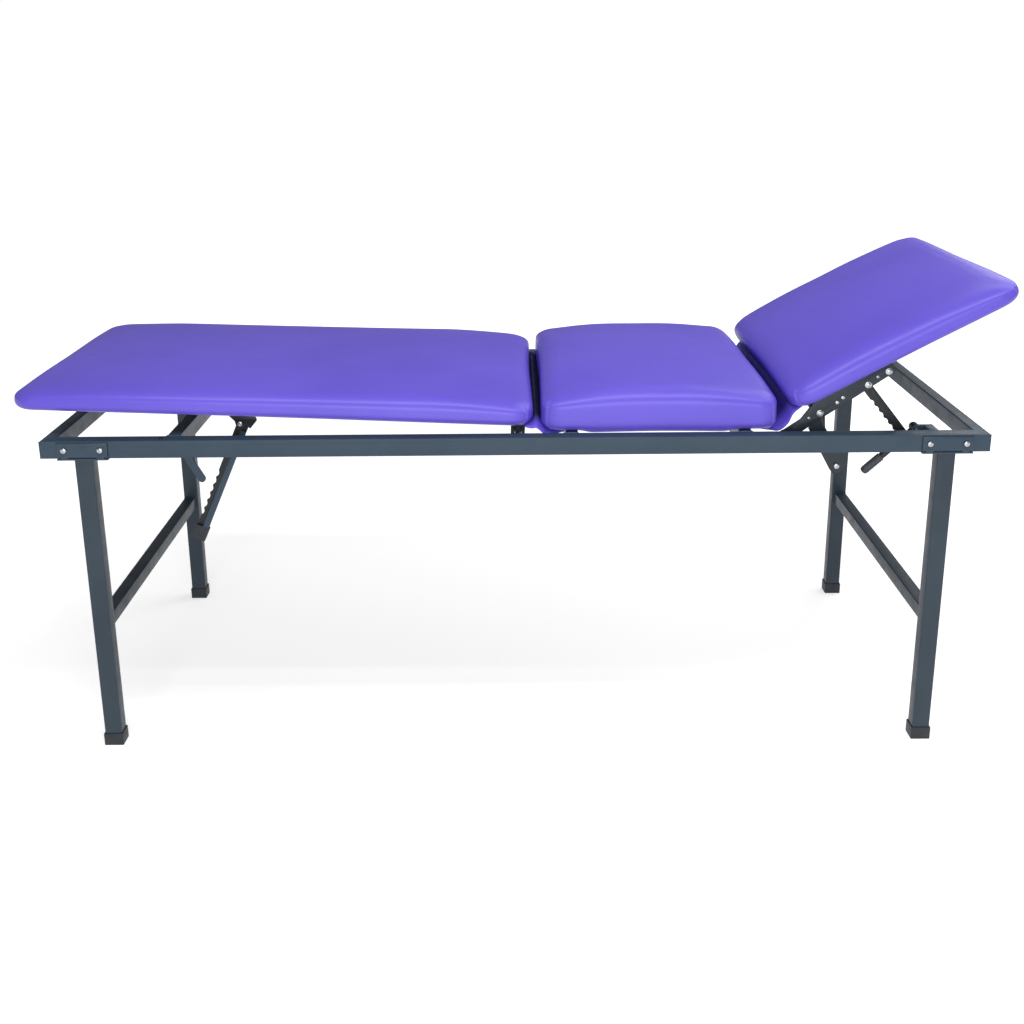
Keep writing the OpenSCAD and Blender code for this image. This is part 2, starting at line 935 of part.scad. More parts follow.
module foot_ratchet_cap() {
    w = foot_ratchet_w + 2 * cap_wall;
    t = 2 * foot_ratchet_t + cap_wall;
    color(black_colour)
        foot_bar_place()
            difference() {
                upright(channel_y, t)
                    translate([foot_bar_shift - w / 2, -foot_ratchet_len - cap_wall])
                        square([w, foot_cap_len + cap_wall]);
                upright(foot_bar_y, foot_ratchet_t)
                    toothed_bar(foot_ratchet_w, foot_bar_shift, foot_ratchet_len, foot_notch_start,
                        foot_notch_pitch, foot_notches);
            }
}

// Foot release lever

module foot_lever_lug() {
    w = foot_lever_w * 1.4;
    color(frame_colour)
        difference() {
            upright(lug_y, lug_t)
                union() {
                    translate([foot_lever_pivot[0] - w / 2, foot_lever_pivot[1]])
                        square([w, foot_lever_drop]);
                    translate(foot_lever_pivot)
                        circle(d = w);
                }
            cross_pin(foot_lever_pivot, lug_y + overrun, lug_t + 2 * overrun, ratchet_pin_d + 2 * fit);
        }
}

module foot_lever_pin() {
    color(silver_colour)
        ratchet_pin_shape(foot_lever_pivot, lug_y, lug_t + side_gap + foot_lever_t);
}

// A bar with a round end at [0, 0] and at its length, turned below the level
module round_bar(length, w, angle) {
    rotate(angle) {
        circle(d = w);
        translate([0, -w / 2])
            square([length, w]);
        translate([length, 0])
            circle(d = w);
    }
}

module foot_lever() {
    nose_w = foot_lever_w * 0.7;
    color(frame_colour)
        difference() {
            upright(foot_bar_y, foot_lever_t)
                translate(foot_lever_pivot)
                    union() {
                        round_bar(foot_lever_len, foot_lever_w, -foot_lever_angle);
                        round_bar(foot_nose_len, nose_w, 0);
                    }
            cross_pin(foot_lever_pivot, foot_bar_y + overrun, foot_lever_t + 2 * overrun,
                ratchet_pin_d + 2 * fit);
        }
}

// A tapered rubber peg under the cross tube that the lever swings back to
peg_len = 62;
peg_top_d = 14;
peg_low_d = 8;
peg_lean = 12;
peg_set = 14;
peg_shift = 5;

module lever_stop_peg() {
    color(black_colour)
        difference() {
            translate([foot_cross_x - peg_shift, peg_set - foot_bar_y, rail_low])
                rotate([0, -peg_lean, 0])
                    translate([0, 0, -peg_len])
                        cylinder(d1 = peg_low_d, d2 = peg_top_d, h = peg_len + tube_wall);
            translate([foot_cross_x - tube_w, peg_set - foot_bar_y - peg_top_d, rail_low])
                cube([2 * tube_w, 2 * peg_top_d, tube_h]);
        }
}

// Head section

arm_end_x = head_hinge_x + arm_len;
arm_root_share = 0.34;
arm_low_rise = 16;
arm_low_share = 0.33;
arm_flange_t = 4;

// The side of an arm, drawn with the section level: an eye, then a bar that widens up to the board
module arm_outline() {
    z = head_hinge_z;
    polygon([
        [head_hinge_x, z - arm_eye_r],
        [head_hinge_x + arm_len * arm_low_share, z - arm_eye_r / 8],
        [arm_end_x, z + arm_low_rise],
        [arm_end_x, head_pad_z],
        [head_hinge_x + arm_len * arm_root_share, head_pad_z],
        [head_hinge_x + arm_len * arm_root_share / 2, z + arm_eye_r * 1.3],
        [head_hinge_x - arm_eye_r / 2, z + arm_eye_r * 0.87]
    ]);
    translate(head_hinge)
        circle(r = arm_eye_r);
}

low_rod = [head_hinge_x + low_rod_reach, head_hinge_z + low_rod_rise];
high_rod = [head_hinge_x + high_rod_reach, head_hinge_z + high_rod_rise];

module head_arm() {
    x0 = head_hinge_x + arm_len * arm_root_share;
    difference() {
        union() {
            upright(arm_y, arm_t)
                arm_outline();
            translate([x0, -arm_y, head_pad_z - arm_flange_t])
                cube([arm_end_x - x0, arm_flange_w, arm_flange_t]);
        }
        cross_pin(head_hinge, arm_y + overrun, arm_t + 2 * overrun, head_pin_d + 2 * fit);
        for (p = [low_rod, high_rod, head_pin_level])
            cross_pin(p, arm_y + overrun, arm_t + 2 * overrun, ratchet_pin_d + 2 * fit);
    }
}

module front_head_arm() {
    color(frame_colour)
        head_section()
            head_arm();
}

module back_head_arm() {
    color(frame_colour)
        head_section()
            mirror([0, 1, 0])
                head_arm();
}

rod_bolt_len = 20;

module head_cross_rods() {
    length = 2 * arm_y - 3 * arm_t;
    color(black_colour)
        head_section()
            difference() {
                union() {
                    cross_pin(low_rod, arm_y - 2 * arm_t, length, cross_rod_d);
                    cross_pin(high_rod, arm_y - arm_t, length + arm_t, cross_rod_d);
                }
                both_sides()
                    for (p = [low_rod, high_rod])
                        cross_pin(p, arm_y, rod_bolt_len + arm_t + overrun, ratchet_pin_d + 2 * fit);
            }
}

// The stop plate hangs from the lower rod's front bolt, and carries a round bumper at its end
stop_x = head_hinge_x + stop_set;
stop_low = head_hinge_z - stop_drop;
stop_bolt = [stop_x, stop_low + bumper_r * 0.66];

module arm_bolt(p, y, length) {
    translate([p[0], -y, p[1]])
        rotate([90, 0, 0])
            button_head(bolt_head_d, bolt_head_h);
    cross_pin(p, y, length, ratchet_pin_d);
}

module head_arm_bolts() {
    color(silver_colour)
        head_section() {
            both_sides()
                for (p = [low_rod, high_rod])
                    arm_bolt(p, arm_y, arm_t + rod_bolt_len);
            arm_bolt(stop_bolt, arm_y - arm_t, arm_t + bumper_r);
        }
}

module stop_plate() {
    neck = arm_eye_r;
    w = stop_w / 2;
    color(frame_colour)
        head_section()
            difference() {
                upright(arm_y - arm_t, arm_t)
                    union() {
                        polygon([
                            [stop_x - w, stop_bolt[1]], [stop_x + w, stop_bolt[1]],
                            [stop_x + w, head_hinge_z - 2 * neck], [low_rod[0] + neck, low_rod[1]],
                            [low_rod[0] - neck, low_rod[1]], [stop_x - w, head_hinge_z - neck]
                        ]);
                        translate(low_rod)
                            circle(r = neck);
                        translate(stop_bolt)
                            circle(r = w);
                    }
                for (p = [stop_bolt, low_rod])
                    cross_pin(p, arm_y, 3 * arm_t, ratchet_pin_d + 2 * fit);
            }
}

module stop_bumper() {
    color(black_colour)
        head_section()
            difference() {
                cross_pin([stop_x, stop_low], arm_y - 2 * arm_t, bumper_r, 2 * bumper_r);
                cross_pin(stop_bolt, arm_y, 2 * arm_t + 2 * bumper_r, ratchet_pin_d + 2 * fit);
            }
}

module head_hinge_pins() {
    color(silver_colour)
        both_sides() {
            cross_pin(head_hinge, inner_y, arm_set + arm_t, head_pin_d);
            cross_pin(head_hinge, inner_y, arm_set - side_gap, head_pin_d + 2 * weld_collar);
        }
}

module head_ratchet_pin() {
    color(silver_colour)
        ratchet_pin_shape(head_pin, arm_y, arm_t + side_gap + head_ratchet_t);
}

// Head ratchet

head_notches = 8;
head_bar_shift = head_ratchet_w * 0.2;

module head_ratchet_bar() {
    color(black_colour)
        translate([head_pin[0], 0, head_pin[1]])
            rotate([0, -head_ratchet_lean, 0])
                difference() {
                    upright(head_bar_y, head_ratchet_t)
                        toothed_bar(head_ratchet_w, -head_bar_shift, head_ratchet_len,
                            head_notch_start, head_notch_pitch, head_notches);
                    cross_pin([0, 0], head_bar_y + overrun, head_ratchet_t + 2 * overrun,
                        ratchet_pin_d + 2 * fit);
                }
}

// Head release lever

lever_boss_d = 18;
lever_boss_len = head_catch_t + head_lever_d;
lever_foot_w = 18;
lever_foot_h = 14;
lever_foot_room = 3;
head_pivot_d = 8;

// A foot on the rail, clear of the bracket's nut, and a plate from it to the lever pin
module head_lever_bracket() {
    p = head_lever_pivot;
    foot_x = leg_x - bolt_spacing / 2 + nut_d / 2 + lever_foot_room;
    color(frame_colour)
        difference() {
            union() {
                translate([foot_x, -inner_y, rail_top - lever_foot_h])
                    cube([lever_foot_w, inner_y - lever_plate_y + lever_plate_t, lever_foot_h]);
                upright(lever_plate_y, lever_plate_t)
                    union() {
                        translate(p)
                            circle(d = lever_boss_d);
                        translate([p[0], rail_top - lever_foot_h])
                            square([foot_x + lever_foot_w - p[0], lever_foot_h]);
                    }
            }
            cross_pin(p, lever_plate_y + overrun, lever_plate_t + 2 * overrun, head_pivot_d + 2 * fit);
        }
}

module head_lever_pin() {
    color(silver_colour)
        cross_pin(head_lever_pivot, lever_plate_y, lever_plate_t + side_gap + lever_boss_len,
            head_pivot_d);
}

// The lever's rod, in its own direction: it leaves the boss and slopes down to the grip
module along_lever() {
    translate([head_lever_pivot[0], -head_rod_y, head_lever_pivot[1]])
        rotate([0, -90 - head_lever_angle, 0])
            children();
}

// The catch pin lies beside the last notch of the toothed bar, on its lower side
catch_w = 12;
catch_pin_d = 6;
catch_room = 0.5;
catch_along = head_notch_start + (head_notches - 1) * head_notch_pitch;
catch_side = head_ratchet_w / 2 + head_bar_shift + catch_pin_d / 2 + catch_room;
catch_place = head_pin
    + catch_along * [sin(head_ratchet_lean), -cos(head_ratchet_lean)]
    - catch_side * [cos(head_ratchet_lean), sin(head_ratchet_lean)];
catch_way = catch_place - head_lever_pivot;

module head_lever() {
    color(black_colour)
        difference() {
            union() {
                cross_pin(head_lever_pivot, head_catch_y, lever_boss_len, lever_boss_d);
                along_lever()
                    cylinder(d = head_lever_d, h = head_lever_len);
                upright(head_catch_y, head_catch_t)
                    translate(head_lever_pivot)
                        round_bar(norm(catch_way), catch_w, atan2(catch_way[1], catch_way[0]));
                cross_pin(catch_place, head_bar_y, head_bar_y - head_catch_y + head_catch_t, catch_pin_d);
            }
            cross_pin(head_lever_pivot, head_catch_y + overrun, lever_boss_len + 2 * overrun,
                head_pivot_d + 2 * fit);
        }
}

module head_lever_grip() {
    color(leg_colour)
        along_lever()
            translate([0, 0, head_lever_len - grip_len])
                difference() {
                    cylinder(d = grip_d, h = grip_len + cap_wall);
                    translate([0, 0, -overrun])
                        cylinder(d = head_lever_d + 2 * fit, h = grip_len + overrun);
                }
}

front_rail();
back_rail();
foot_end_rail();
head_end_rail();
foot_cross_tube();
seat_front_cross_tube();
seat_back_cross_tube();
front_foot_leg();
back_foot_leg();
front_head_leg();
back_head_leg();
front_foot_bracket();
back_foot_bracket();
front_head_bracket();
back_head_bracket();
foot_caps();
foot_stretcher();
head_stretcher();
leg_bolts();
leg_nuts();
seat_board();
seat_cushion();
foot_gap_strip();
head_gap_strip();
leg_hinge_pins();
head_hinge_pins();
foot_lever_lug();
foot_lever_pin();
lever_stop_peg();
head_lever_bracket();
head_lever_pin();
leg_board();
leg_cushion();
front_leg_bar();
back_leg_bar();
leg_cross_bars();
leg_hinge_blocks();
foot_ratchet_hook();
foot_ratchet_pin();
foot_ratchet_bar();
foot_ratchet_channel();
foot_ratchet_cap();
foot_lever();
head_board();
head_cushion();
front_head_arm();
back_head_arm();
head_cross_rods();
head_arm_bolts();
stop_plate();
stop_bumper();
head_ratchet_pin();
head_ratchet_bar();
head_lever();
head_lever_grip();
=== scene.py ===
"""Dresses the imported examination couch: sewn vinyl pads, coated tube, plated hardware, studio."""
import json
import logging
import math
from dataclasses import dataclass
from enum import Enum
from itertools import pairwise
from typing import Callable, Iterable, Sequence

import bmesh
import bpy
from mathutils import Matrix, Vector


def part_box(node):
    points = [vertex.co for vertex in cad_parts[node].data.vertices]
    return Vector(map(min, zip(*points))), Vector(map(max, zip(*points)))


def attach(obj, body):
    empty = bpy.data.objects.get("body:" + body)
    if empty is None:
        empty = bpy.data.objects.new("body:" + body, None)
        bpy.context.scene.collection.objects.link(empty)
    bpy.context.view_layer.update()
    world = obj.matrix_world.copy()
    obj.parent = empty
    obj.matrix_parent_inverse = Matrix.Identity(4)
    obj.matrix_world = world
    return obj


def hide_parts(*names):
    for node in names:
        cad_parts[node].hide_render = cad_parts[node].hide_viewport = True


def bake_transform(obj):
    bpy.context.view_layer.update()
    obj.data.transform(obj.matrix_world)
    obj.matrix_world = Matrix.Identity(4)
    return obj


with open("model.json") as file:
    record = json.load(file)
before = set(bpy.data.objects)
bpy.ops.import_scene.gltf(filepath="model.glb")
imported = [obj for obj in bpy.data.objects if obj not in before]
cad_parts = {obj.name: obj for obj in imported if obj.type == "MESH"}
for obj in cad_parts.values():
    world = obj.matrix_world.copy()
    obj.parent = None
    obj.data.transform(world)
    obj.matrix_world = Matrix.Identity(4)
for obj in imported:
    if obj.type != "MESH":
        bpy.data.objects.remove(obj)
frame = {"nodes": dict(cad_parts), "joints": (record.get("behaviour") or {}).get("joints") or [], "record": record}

log = logging.getLogger("couch")

Point = tuple[float, float, float]
Colour = tuple[float, float, float, float]
Shell = tuple[list[Vector], list[tuple[int, ...]]]

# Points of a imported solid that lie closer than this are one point.
SAME_POINT = 2e-6


def srgb(red: int, green: int, blue: int) -> Colour:
    """Turns a colour as a screen shows it into the shader's linear one.

    Args:
        red: Red, from 0 to 255.
        green: Green, from 0 to 255.
        blue: Blue, from 0 to 255.

    Returns:
        The linear colour with full opacity.
    """
    def linear(value: int) -> float:
        """Linear value of one channel."""
        share = value / 255
        return share / 12.92 if share <= 0.04045 else ((share + 0.055) / 1.055) ** 2.4

    return (linear(red), linear(green), linear(blue), 1.0)


class ShaderSheet:
    """A material's nodes, with short calls for the ones that the finishes use."""

    def __init__(self, name: str) -> None:
        """Starts a material with one Principled shader.

        Args:
            name: Name of the material.
        """
        self.material = bpy.data.materials.new(name)
        self.material.use_nodes = True
        self.tree = self.material.node_tree
        self.shader = self.tree.nodes["Principled BSDF"]
        self.place = self.tree.nodes.new("ShaderNodeTexCoord").outputs["Object"]

    def link(self, start: bpy.types.NodeSocket, end: bpy.types.NodeSocket) -> None:
        """Joins two sockets."""
        self.tree.links.new(start, end)

    def set(self, **values: object) -> None:
        """Sets the shader's own sockets, each named in lower case with underscores.

        Args:
            **values: Socket values, such as roughness or coat_weight.
        """
        for name, value in values.items():
            socket = name.replace("_", " ").title().replace("Ior", "IOR")
            self.shader.inputs[socket].default_value = value

    def stretched(self, stretch: Point) -> bpy.types.NodeSocket:
        """Scales the object's own coordinates.

        Args:
            stretch: Scale along X, Y and Z.

        Returns:
            The scaled coordinates.
        """
        node = self.tree.nodes.new("ShaderNodeMapping")
        node.inputs["Scale"].default_value = stretch
        self.link(self.place, node.inputs["Vector"])
        return node.outputs["Vector"]

    def noise(self, scale: float, detail: float = 3.0,
              stretch: Point = (1.0, 1.0, 1.0)) -> bpy.types.NodeSocket:
        """A cloudy pattern.

        Args:
            scale: Features per metre.
            detail: How many finer layers it holds.
            stretch: Scale along X, Y and Z.

        Returns:
            The pattern's value.
        """
        node = self.tree.nodes.new("ShaderNodeTexNoise")
        node.inputs["Scale"].default_value = scale
        node.inputs["Detail"].default_value = detail
        self.link(self.stretched(stretch), node.inputs["Vector"])
        return node.outputs["Fac"]

    def cells(self, scale: float, smooth: float = 1.0) -> bpy.types.NodeSocket:
        """A pattern of small rounded cells.

        Args:
            scale: Cells per metre.
            smooth: How soft the borders between the cells are.

        Returns:
            The distance to the middle of the nearest cell.
        """
        node = self.tree.nodes.new("ShaderNodeTexVoronoi")
        node.feature = "SMOOTH_F1"
        node.inputs["Scale"].default_value = scale
        node.inputs["Smoothness"].default_value = smooth
        self.link(self.stretched((1.0, 1.0, 1.0)), node.inputs["Vector"])
        return node.outputs["Distance"]

    def ramp(self, factor: bpy.types.NodeSocket, low: Colour, high: Colour,
             span: tuple[float, float] = (0.3, 0.7)) -> bpy.types.NodeSocket:
        """Turns a pattern into a blend of two colours.

        Args:
            factor: The pattern.
            low: Colour at and below the span.
            high: Colour at and above the span.
            span: Values between which the colours blend.

        Returns:
            The colour.
        """
        node = self.tree.nodes.new("ShaderNodeValToRGB")
        for stop, place, colour in zip(node.color_ramp.elements, span, (low, high)):
            stop.position = place
            stop.color = colour
        self.link(factor, node.inputs["Fac"])
        return node.outputs["Color"]

    def range(self, factor: bpy.types.NodeSocket, low: float, high: float,
              span: tuple[float, float] = (0.3, 0.7)) -> bpy.types.NodeSocket:
        """Turns a pattern into a number between two limits.

        Args:
            factor: The pattern.
            low: Number at the start of the span.
            high: Number at the end of the span.
            span: Values between which the number changes.

        Returns:
            The number.
        """
        node = self.tree.nodes.new("ShaderNodeMapRange")
        for name, value in zip(("From Min", "From Max", "To Min", "To Max"), (*span, low, high)):
            node.inputs[name].default_value = value
        self.link(factor, node.inputs["Value"])
        return node.outputs["Result"]

    def tint(self, base: bpy.types.NodeSocket, over: Colour,
             factor: bpy.types.NodeSocket) -> bpy.types.NodeSocket:
        """Lays a colour over another where a pattern says so.

        Args:
            base: The colour underneath.
            over: The colour on top.
            factor: How much of the upper colour shows.

        Returns:
            The mixed colour.
        """
        node = self.tree.nodes.new("ShaderNodeMix")
        node.data_type = "RGBA"
        self.link(factor, node.inputs["Factor"])
        self.link(base, node.inputs["A"])
        node.inputs["B"].default_value = over
        return node.outputs["Result"]

    def bump(self, height: bpy.types.NodeSocket, strength: float, depth: float,
             under: bpy.types.NodeSocket | None = None) -> bpy.types.NodeSocket:
        """Relief from a pattern.

        Args:
            height: The pattern.
            strength: Share of the relief that shows.
            depth: Height of the relief in metres.
            under: Relief that this one lies on.

        Returns:
            The normal.
        """
        node = self.tree.nodes.new("ShaderNodeBump")
        node.inputs["Strength"].default_value = strength
        node.inputs["Distance"].default_value = depth
        self.link(height, node.inputs["Height"])
        if under is not None:
            self.link(under, node.inputs["Normal"])
        return node.outputs["Normal"]

    def colour(self, value: bpy.types.NodeSocket) -> None:
        """Feeds the shader's base colour."""
        self.link(value, self.shader.inputs["Base Color"])

    def roughness(self, value: bpy.types.NodeSocket) -> None:
        """Feeds the shader's roughness."""
        self.link(value, self.shader.inputs["Roughness"])

    def relief(self, value: bpy.types.NodeSocket) -> None:
        """Feeds the shader's normal."""
        self.link(value, self.shader.inputs["Normal"])


@dataclass(frozen=True)
class PowderCoat:
    """Baked powder paint: a fine orange peel, a slow change of tone and a few rubbed spots."""

    tone: Colour
    deep: Colour
    rubbed: Colour
    gloss: float = 0.36
    peel_scale: float = 900.0

    def material(self, name: str) -> bpy.types.Material:
        """Builds the paint's material.

        Args:
            name: Name of the material.

        Returns:
            The material.
        """
        sheet = ShaderSheet(name)
        sheet.set(specular_ior_level=0.34)
        body = sheet.ramp(sheet.noise(5.0, 4.0), self.deep, self.tone, (0.35, 0.62))
        specks = sheet.range(sheet.noise(2600.0, 2.0), 0.0, 0.35, (0.62, 0.74))
        sheet.colour(sheet.tint(body, self.rubbed, specks))
        sheet.roughness(sheet.range(sheet.noise(38.0, 5.0), self.gloss - 0.06, self.gloss + 0.1))
        slow = sheet.bump(sheet.noise(70.0, 2.0), 0.12, 0.0006)
        sheet.relief(sheet.bump(sheet.noise(self.peel_scale, 2.0), 0.16, 0.0002, slow))
        return sheet.material


@dataclass(frozen=True)
class Vinyl:
    """Upholstery vinyl: pressed grain with painted shade in its hollows, soft sheen, slightly uneven tone."""

    tone: Colour = srgb(108, 91, 217)
    deep: Colour = srgb(100, 84, 208)
    grain_scale: float = 950.0

    def material(self, name: str) -> bpy.types.Material:
        """Builds the vinyl's material.

        Args:
            name: Name of the material.

        Returns:
            The material.
        """
        sheet = ShaderSheet(name)
        sheet.set(specular_ior_level=0.42)
        body = sheet.ramp(sheet.noise(3.2, 5.0), self.deep, self.tone, (0.34, 0.6))
        # Painted shade: the grain's hollows are coloured a little darker.
        hollow_shade = sheet.range(sheet.cells(self.grain_scale), 0.16, 0.0, (0.1, 0.5))
        sheet.colour(sheet.tint(body, self.deep, hollow_shade))
        sheet.roughness(sheet.range(sheet.noise(26.0, 4.0), 0.34, 0.4))
        stretch = sheet.bump(sheet.noise(30.0, 2.0), 0.05, 0.001)
        sheet.relief(sheet.bump(sheet.cells(self.grain_scale), 0.14, 0.0003, stretch))
        return sheet.material


@dataclass(frozen=True)
class WebVinyl:
    """The web between two pads: painted shade over its middle, where the gap lies in shadow, and the vinyl's own
    colour at its two ends.
    """

    clean: Colour = srgb(104, 88, 214)
    # Colour of the painted shade over the web's middle.
    painted_shade: Colour = srgb(34, 33, 62)
    half_width: float = 0.25
    shade_fade: float = 0.05

    def material(self, name: str) -> bpy.types.Material:
        """Builds the web's material.

        Args:
            name: Name of the material.

        Returns:
            The material.
        """
        sheet = ShaderSheet(name)
        sheet.set(specular_ior_level=0.3)
        split = sheet.tree.nodes.new("ShaderNodeSeparateXYZ")
        sheet.link(sheet.place, split.inputs["Vector"])
        away = sheet.tree.nodes.new("ShaderNodeMath")
        away.operation = "ABSOLUTE"
        sheet.link(split.outputs["Y"], away.inputs[0])
        # The middle carries the painted shade, which fades to the vinyl's own colour near each end.
        start = self.half_width - self.shade_fade
        ends = sheet.range(away.outputs[0], 0.0, 1.0, (start, self.half_width - self.shade_fade / 3))
        sheet.colour(sheet.ramp(ends, self.painted_shade, self.clean, (0.0, 1.0)))
        sheet.roughness(sheet.range(sheet.noise(40.0, 4.0), 0.42, 0.55))
        sheet.relief(sheet.bump(sheet.cells(950.0), 0.14, 0.0003))
        return sheet.material


@dataclass(frozen=True)
class Thread:
    """Bonded sewing thread, coloured lighter than the vinyl as a painted highlight of the light the stitches
    catch.
    """

    tone: Colour = srgb(176, 164, 238)
    deep: Colour = srgb(150, 136, 226)

    def material(self, name: str) -> bpy.types.Material:
        """Builds the thread's material.

        Args:
            name: Name of the material.

        Returns:
            The material.
        """
        sheet = ShaderSheet(name)
        sheet.set(specular_ior_level=0.3, sheen_weight=0.1)
        twist = sheet.noise(1800.0, 1.0)
        sheet.colour(sheet.ramp(twist, self.deep, self.tone, (0.4, 0.6)))
        sheet.roughness(sheet.range(twist, 0.5, 0.65))
        sheet.relief(sheet.bump(twist, 0.3, 0.0002))
        return sheet.material


def dress_as(piece: bpy.types.Object, finish: Thread | WebVinyl | PowderCoat, name: str,
             slot: str) -> None:
    """Gives a piece a finish of its own.

    Args:
        piece: The piece to dress.
        finish: The finish that makes its material.
        name: Name of the material.
        slot: Name of the slot in the record; not used.
    """
    material = bpy.data.materials.get(name) or finish.material(name)
    piece.data.materials.clear()
    piece.data.materials.append(material)


@dataclass(frozen=True)
class Plated:
    """Zinc-plated steel with fine turning marks."""

    tone: Colour = srgb(196, 199, 203)
    dull: Colour = srgb(158, 161, 166)
    mark_scale: float = 300.0

    def material(self, name: str) -> bpy.types.Material:
        """Builds the plating's material.

        Args:
            name: Name of the material.

        Returns:
            The material.
        """
        sheet = ShaderSheet(name)
        sheet.set(metallic=1.0)
        marks = sheet.noise(self.mark_scale, 4.0, (1.0, 6.0, 1.0))
        sheet.colour(sheet.ramp(marks, self.dull, self.tone, (0.35, 0.65)))
        sheet.roughness(sheet.range(marks, 0.22, 0.4))
        sheet.relief(sheet.bump(sheet.noise(self.mark_scale * 4, 2.0), 0.1, 0.0001))
        return sheet.material


@dataclass(frozen=True)
class Moulded:
    """Rubber or moulded plastic with a fine spark-eroded texture."""

    tone: Colour
    worn: Colour
    gloss: float

    def material(self, name: str) -> bpy.types.Material:
        """Builds the moulding's material.

        Args:
            name: Name of the material.

        Returns:
            The material.
        """
        sheet = ShaderSheet(name)
        sheet.set(specular_ior_level=0.4)
        sheet.colour(sheet.ramp(sheet.noise(60.0, 5.0), self.tone, self.worn, (0.4, 0.8)))
        sheet.roughness(sheet.range(sheet.noise(150.0, 3.0), self.gloss - 0.08, self.gloss + 0.08))
        sheet.relief(sheet.bump(sheet.noise(1400.0, 2.0), 0.3, 0.0002))
        return sheet.material


@dataclass(frozen=True)
class StainedPly:
    """Dark-stained plywood: long grain with darker pores."""

    tone: Colour = srgb(74, 66, 62)
    deep: Colour = srgb(46, 41, 40)

    def material(self, name: str) -> bpy.types.Material:
        """Builds the wood's material.

        Args:
            name: Name of the material.

        Returns:
            The material.
        """
        sheet = ShaderSheet(name)
        grain = sheet.noise(9.0, 7.0, (1.0, 14.0, 60.0))
        pores = sheet.range(sheet.noise(40.0, 3.0, (1.0, 30.0, 30.0)), 0.0, 0.5, (0.56, 0.72))
        sheet.colour(sheet.tint(sheet.ramp(grain, self.deep, self.tone), self.deep, pores))
        sheet.roughness(sheet.range(grain, 0.5, 0.72))
        sheet.relief(sheet.bump(grain, 0.25, 0.0004))
        return sheet.material


class Slot(Enum):
    """The record's material slots, each with its finish."""

    FRAME_PAINT = ("frame_paint", PowderCoat(srgb(51, 69, 85), srgb(45, 62, 78), srgb(68, 86, 100)))
    LEG_PAINT = ("leg_paint", PowderCoat(srgb(47, 62, 74), srgb(41, 54, 65), srgb(62, 78, 90)))
    BLACK_PAINT = ("black_paint", PowderCoat(srgb(27, 31, 35), srgb(21, 24, 28), srgb(52, 58, 63), 0.4))
    ZINC = ("zinc", Plated())
    RUBBER = ("rubber", Moulded(srgb(25, 27, 30), srgb(40, 43, 46), 0.6))
    GRIP = ("grip", Moulded(srgb(46, 52, 57), srgb(58, 64, 69), 0.42))
    CAPS = ("caps", Moulded(srgb(33, 38, 44), srgb(44, 49, 55), 0.5))
    VINYL = ("vinyl", Vinyl())
    BOARD = ("board", StainedPly())

    def __init__(self, slot: str, finish: PowderCoat | Vinyl | Plated | Moulded | StainedPly) -> None:
        """Keeps the slot's name in the record and its finish.

        Args:
            slot: Name of the slot in the record.
            finish: The finish that makes its material.
        """
        self.slot = slot
        self.finish = finish

    def dress(self, piece: bpy.types.Object) -> bpy.types.Object:
        """Gives a piece this slot's material, and names the slot for it.

        Args:
            piece: The piece to dress.

        Returns:
            The same piece.
        """
        found = bpy.data.materials.get(f"finish_{self.slot}")
        material = found or self.finish.material(f"finish_{self.slot}")
        piece.data.materials.clear()
        piece.data.materials.append(material)
        return piece

    @classmethod
    def of_node(cls, node: str) -> "Slot":
        """Finds the slot that the record gives a node."""
        named = {row["node"]: row["material_slot"] for row in frame["record"]["subparts"]}
        return next(member for member in cls if member.slot == named[node])


def body_of_node(node: str) -> str:
    """Finds the body that a node rides on."""
    bodies = frame["record"]["behaviour"]["bodies"]
    return next(body for body, members in bodies.items() if node in members)


def new_piece(name: str, corners: Sequence[Sequence[float]], faces: Sequence[Sequence[int]],
              crease: float = 35.0) -> bpy.types.Object:
    """Makes an object from points and faces, smooth but for its sharp edges.

    Args:
        name: Name of the piece.
        corners: The points.
        faces: The faces, as indices of points.
        crease: Angle in degrees above which an edge stays sharp.

    Returns:
        The object.
    """
    mesh = bpy.data.meshes.new(name)
    mesh.from_pydata([tuple(corner) for corner in corners], [], [tuple(face) for face in faces])
    return finished(name, mesh, crease)


def finished(name: str, mesh: bpy.types.Mesh, crease: float) -> bpy.types.Object:
    """Turns a mesh into an object of the scene with smooth shading.

    Args:
        name: Name of the piece.
        mesh: Its mesh.
        crease: Angle in degrees above which an edge stays sharp.

    Returns:
        The object.
    """
    mesh.validate()
    mesh.polygons.foreach_set("use_smooth", [True] * len(mesh.polygons))
    mesh.set_sharp_from_angle(angle=math.radians(crease))
    piece = bpy.data.objects.new(name, mesh)
    bpy.context.scene.collection.objects.link(piece)
    return piece


class Edges(Enum):
    """Which edges of a redrawn piece are rounded."""

    ALONG = "the long edges of a rolled tube"
    ALL = "every outer edge"


